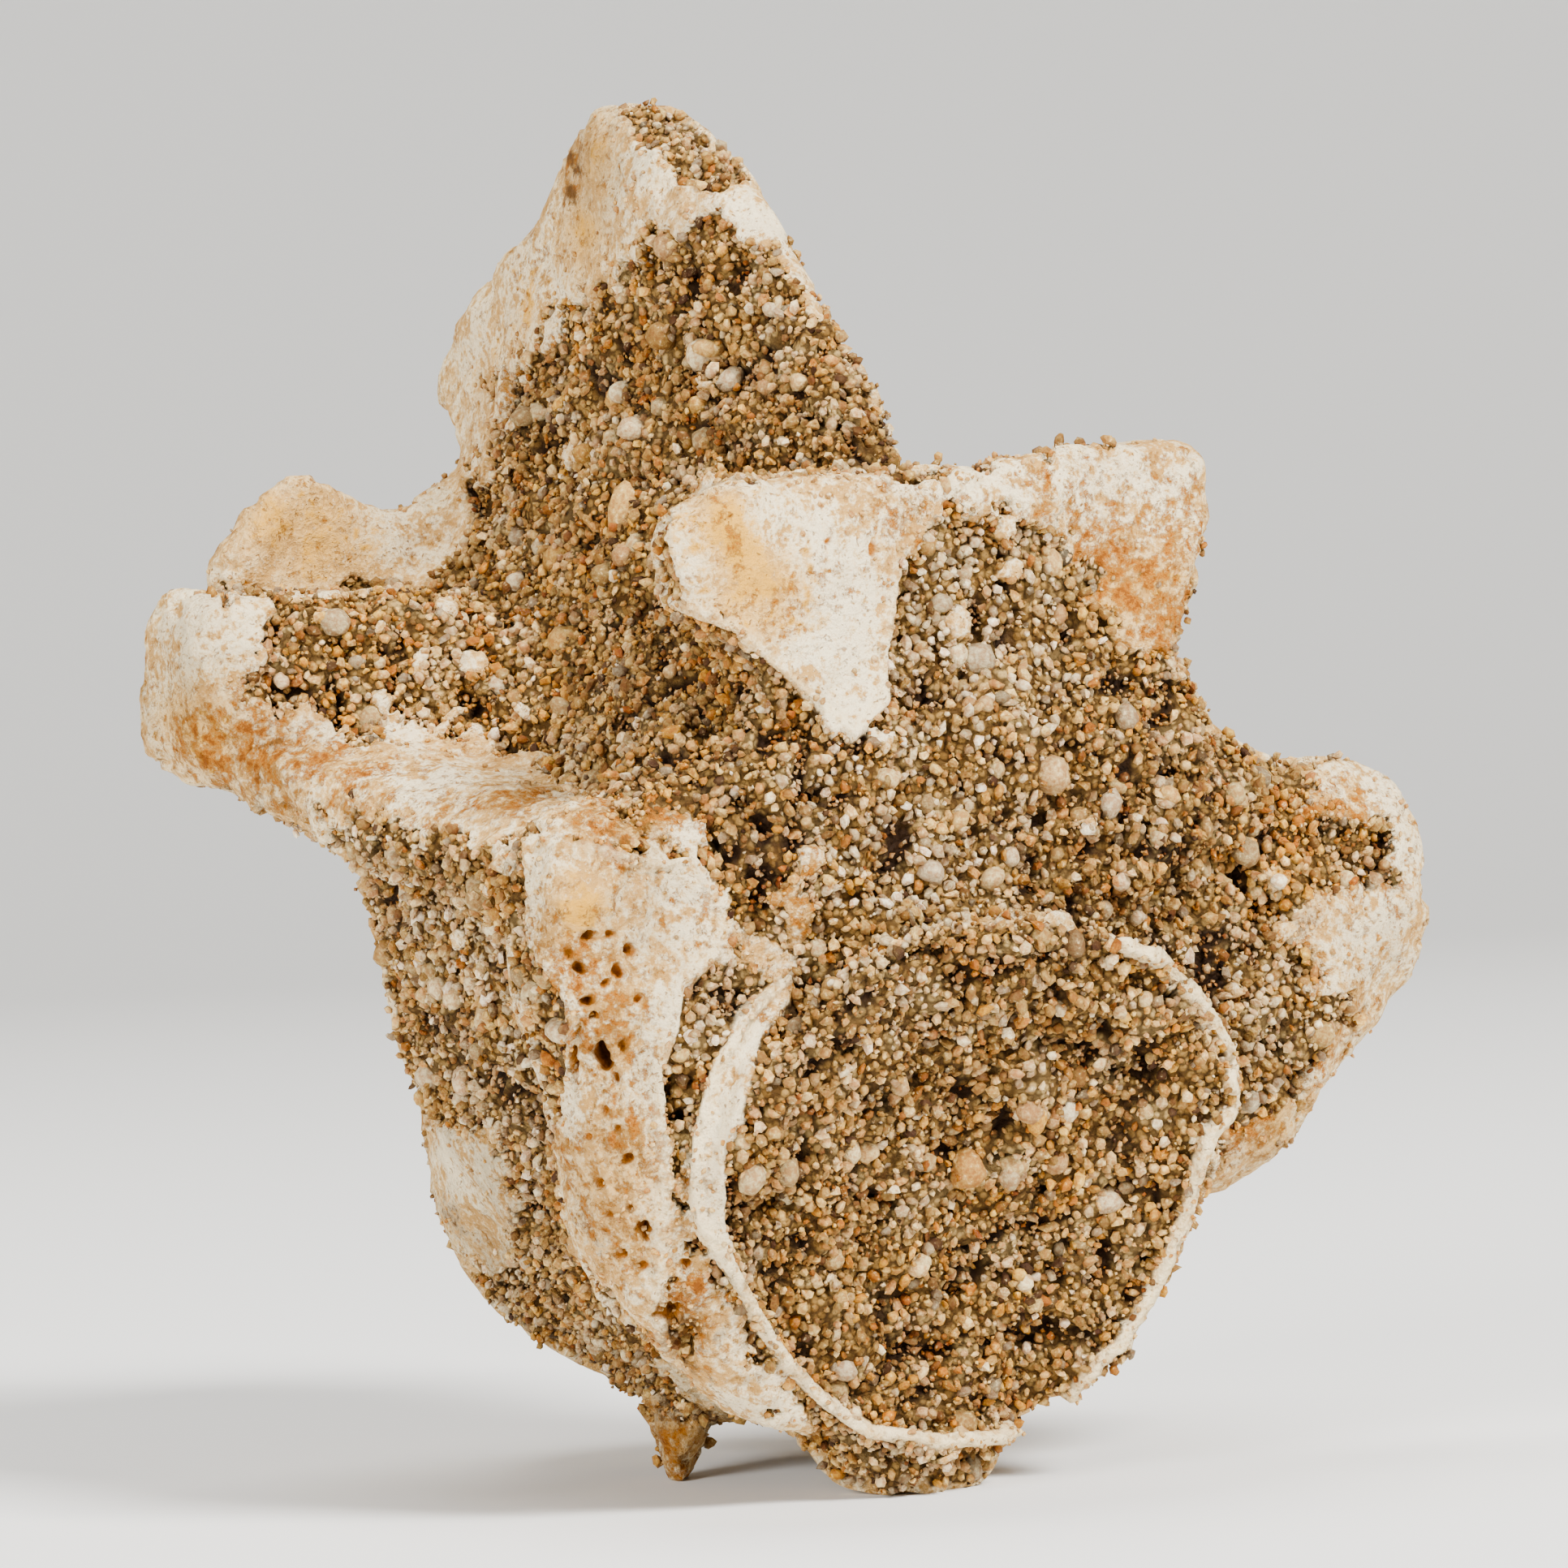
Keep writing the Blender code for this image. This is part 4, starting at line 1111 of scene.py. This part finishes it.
grain_finish = bpy.data.materials.new("sand_grains")
grain_finish.use_nodes = True
tree = grain_finish.node_tree
finish = tree.nodes["Principled BSDF"]
place = mm_places(tree)
grain_tint_and_shade = add_node(tree, "ShaderNodeAttribute", attribute_name="grain_tint_and_shade").outputs["Color"]
mottle = cloud_node(tree, place, 7.0, 4.0, 0.65)
film = ramp(tree, mottle, 0.40, 0.62, 0.0, 0.65)
dull = blend(tree, film, grain_tint_and_shade, tone(196, 140, 80), "MULTIPLY")
dull = blend(tree, ramp(tree, mottle, 0.42, 0.30, 0.0, 0.45), dull, tone(246, 216, 160))
tree.links.new(dull, finish.inputs["Base Color"])
shine = ramp(tree, mark_value(tree, "glassy"), 0.0, 1.0, 0.66, 0.25)
tree.links.new(shine, finish.inputs["Roughness"])
finish.inputs["Specular IOR Level"].default_value = 0.22
grain_relief = cloud_node(tree, place, 9.0, 4.0, 0.65)
bump = add_node(tree, "ShaderNodeBump", {"Strength": 0.8, "Distance": 0.00009})
tree.links.new(grain_relief, bump.inputs["Height"])
tree.links.new(bump.outputs["Normal"], finish.inputs["Normal"])

# The grains go into the first group whose part of the fossil they lie on.
sand_groups = {
    "sand_of_blade": grain_middles[:, 2] > 28.5,
    "sand_of_blade_foot": grain_middles[:, 2] > 22.5,
    "sand_of_left_side": grain_middles[:, 0] < -5.0,
    "sand_of_cup": (grain_middles[:, 2] < 17.0) & (grain_middles[:, 1] < -5.0),
    "sand_of_right_side": grain_middles[:, 0] > 3.0,
    "sand_of_middle": np.ones(count, bool),
}
taken = np.zeros(count, bool)
for group_name, wanted in sand_groups.items():
    members = np.nonzero(wanted & ~taken)[0]
    taken[members] = True
    all_places = []
    all_faces = []
    all_colours = []
    all_glass = []
    all_smooth = []
    start = 0
    for form, (ball_places, ball_faces) in enumerate(grain_forms):
        own = members[form_of[members] == form]
        shaped = ball_places[None] * (stretch[own] * radius[own][:, None])[:, None, :]
        shaped = np.einsum("nij,nvj->nvi", turn_rows[own], shaped)
        steps = start + np.arange(len(own)) * len(ball_places)
        all_places.append((shaped + grain_middles[own][:, None, :]).reshape(-1, 3))
        all_faces.append((ball_faces[None] + steps[:, None, None]).reshape(-1, 3))
        # Each grain is painted darker and browner on its side toward the skin: painted shade on its
        # underside.
        lean = np.einsum("nvi,ni->nv", shaped, outward[own])
        lean = np.clip(lean / radius[own][:, None] * 0.5 + 0.62, 0, 1)[:, :, None]
        under = grain_colours[own][:, None, :] * np.array([0.40, 0.24, 0.14])
        shaded = under + (grain_colours[own][:, None, :] - under) * lean
        all_colours.append(shaded.reshape(-1, 3))
        all_glass.append(np.repeat(glassy[own], len(ball_places)))
        all_smooth.append(np.full(len(own) * len(ball_faces), form in SMOOTH_FORMS))
        start += len(own) * len(ball_places)
    group_places = np.vstack(all_places) * MM
    group_faces = np.vstack(all_faces)
    group_colours = np.vstack(all_colours)
    group_mesh = bpy.data.meshes.new(group_name)
    group_mesh.from_pydata(group_places.tolist(), [], group_faces.tolist())
    group_mesh.polygons.foreach_set("use_smooth", np.concatenate(all_smooth))
    tint_layer = group_mesh.attributes.new("grain_tint_and_shade", "FLOAT_COLOR", "POINT")
    flat = np.hstack([group_colours, np.ones((len(group_colours), 1))]).astype(np.float32)
    tint_layer.data.foreach_set("color", flat.ravel())
    glass_layer = group_mesh.attributes.new("glassy", "FLOAT", "POINT")
    glass_layer.data.foreach_set("value", np.concatenate(all_glass).astype(np.float32))
    group_mesh.materials.append(grain_finish)
    group = placed(group_name, group_mesh)
    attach(group, "root")


# The pebbles
# Larger worn grains and shell bits stand in the sand, half sunk and the same colours as the
# sand around them. The ones that the photograph shows have their places, and the rest are strewn.
PEBBLE_SEED = 288
PEBBLE_RADIUS = (0.22, 0.44)
PEBBLES_PER_MM2 = 0.20
# Pebbles in the sand: across, down, half width and half height in pixels, and colour.
PEBBLES = [
    (1294, 955, 24, 24, (190, 158, 104)), (1207, 812, 22, 20, (172, 156, 122)),
    (1311, 686, 11, 10, (84, 74, 54)), (1341, 1020, 10, 9, (252, 240, 204)),
    (1575, 1087, 11, 10, (250, 236, 196)), (700, 790, 24, 22, (186, 148, 76)),
    (690, 690, 22, 20, (176, 138, 66)), (771, 640, 22, 48, (194, 156, 84)),
    (1068, 1416, 15, 16, (210, 178, 118)), (766, 490, 20, 18, (184, 146, 74)),
    (875, 429, 22, 12, (196, 160, 90)), (986, 471, 14, 12, (214, 186, 124)),
    (1312, 1366, 16, 18, (240, 226, 184)), (1276, 1370, 14, 28, (196, 148, 56)),
    (1190, 1440, 24, 26, (176, 132, 62)), (1046, 1418, 14, 18, (222, 200, 146)),
    (1090, 960, 16, 14, (206, 182, 126)), (1180, 1010, 14, 16, (190, 158, 92)),
    (860, 500, 14, 12, (178, 138, 62)), (720, 560, 16, 14, (168, 128, 56)),
    (640, 860, 16, 13, (196, 158, 88)), (1440, 980, 15, 13, (200, 162, 92)),
    (1130, 1560, 15, 14, (214, 184, 124)), (1230, 1250, 15, 13, (204, 170, 104)),
    (560, 1230, 14, 14, (220, 198, 146)), (1260, 1580, 13, 12, (236, 214, 160)),
]

chance = np.random.RandomState(PEBBLE_SEED)
strewn_spots, strewn_outward, sand_share, crack_share = strewn(
    areas * (sandy > 0.9), PEBBLES_PER_MM2,
)
strewn_radius = sizes(PEBBLE_RADIUS, len(strewn_spots), 2.2)
strewn_colours = pick_tones(GREY_TONES, len(strewn_spots)) * 0.35
strewn_colours = strewn_colours + pick_tones(GRAIN_TONES, len(strewn_spots)) * 0.55
pebble_list = []
for across, down, half_width, half_height, colour in PEBBLES:
    middle, turn, face, reach = skin_tree.ray_cast(CAMERA_PLACE, sight_line(across, down))
    if middle is not None:
        width = half_width * PIXEL_MM
        size = (width, half_height * PIXEL_MM, width * 0.9)
        pebble_list.append((middle, turn, camera_turn.to_3x3(), size, tone(*colour)[:3]))
for middle, turn, radius_mm, colour in zip(
    strewn_spots, strewn_outward, strewn_radius, strewn_colours
):
    tilt = Vector(chance.normal(0, 1, 3)).to_track_quat("Z", "Y").to_matrix()
    size = radius_mm * (0.70 + 0.55 * chance.rand(3))
    pebble_list.append((Vector(middle), Vector(turn), tilt, tuple(size), tuple(colour)))

pebble_shape = bmesh.new()
pebble_colours = []
for number, (middle, turn, tilt, size, colour) in enumerate(pebble_list):
    made = bmesh.ops.create_icosphere(pebble_shape, subdivisions=2, radius=1.0)["verts"]
    seat = middle + turn * (min(size) * 0.10)
    for vert in made:
        worn = 1 + 0.42 * noise.noise(vert.co * 1.1 + Vector((number * 3.1, 0, 0)))
        worn = min(worn, 1.06 + 0.10 * noise.noise(Vector((number * 1.7, 5.0, 0))))
        place_in_pebble = Vector([part * side for part, side in zip(vert.co * worn, size)])
        vert.co = tilt @ place_in_pebble
        # Each pebble is painted darker on its side toward the skin: painted shade on its underside.
        lean = min(1.0, max(0.0, vert.co.dot(turn) / min(size) * 0.5 + 0.66))
        pebble_colours.append([part * (0.30 + 0.70 * lean) for part in colour] + [1.0])
        vert.co = (vert.co + seat) * MM
        vert.co.z = max(vert.co.z, 0.0)
for face in pebble_shape.faces:
    face.smooth = True
pebble_mesh = bpy.data.meshes.new("pebbles")
pebble_shape.to_mesh(pebble_mesh)
pebble_shape.free()
tint_layer = pebble_mesh.attributes.new("grain_tint_and_shade", "FLOAT_COLOR", "POINT")
tint_layer.data.foreach_set("color", np.array(pebble_colours, np.float32).ravel())
pebble_mesh.attributes.new("glassy", "FLOAT", "POINT")
pebble_mesh.materials.append(grain_finish)
pebbles = placed("pebbles", pebble_mesh)
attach(pebbles, "root")
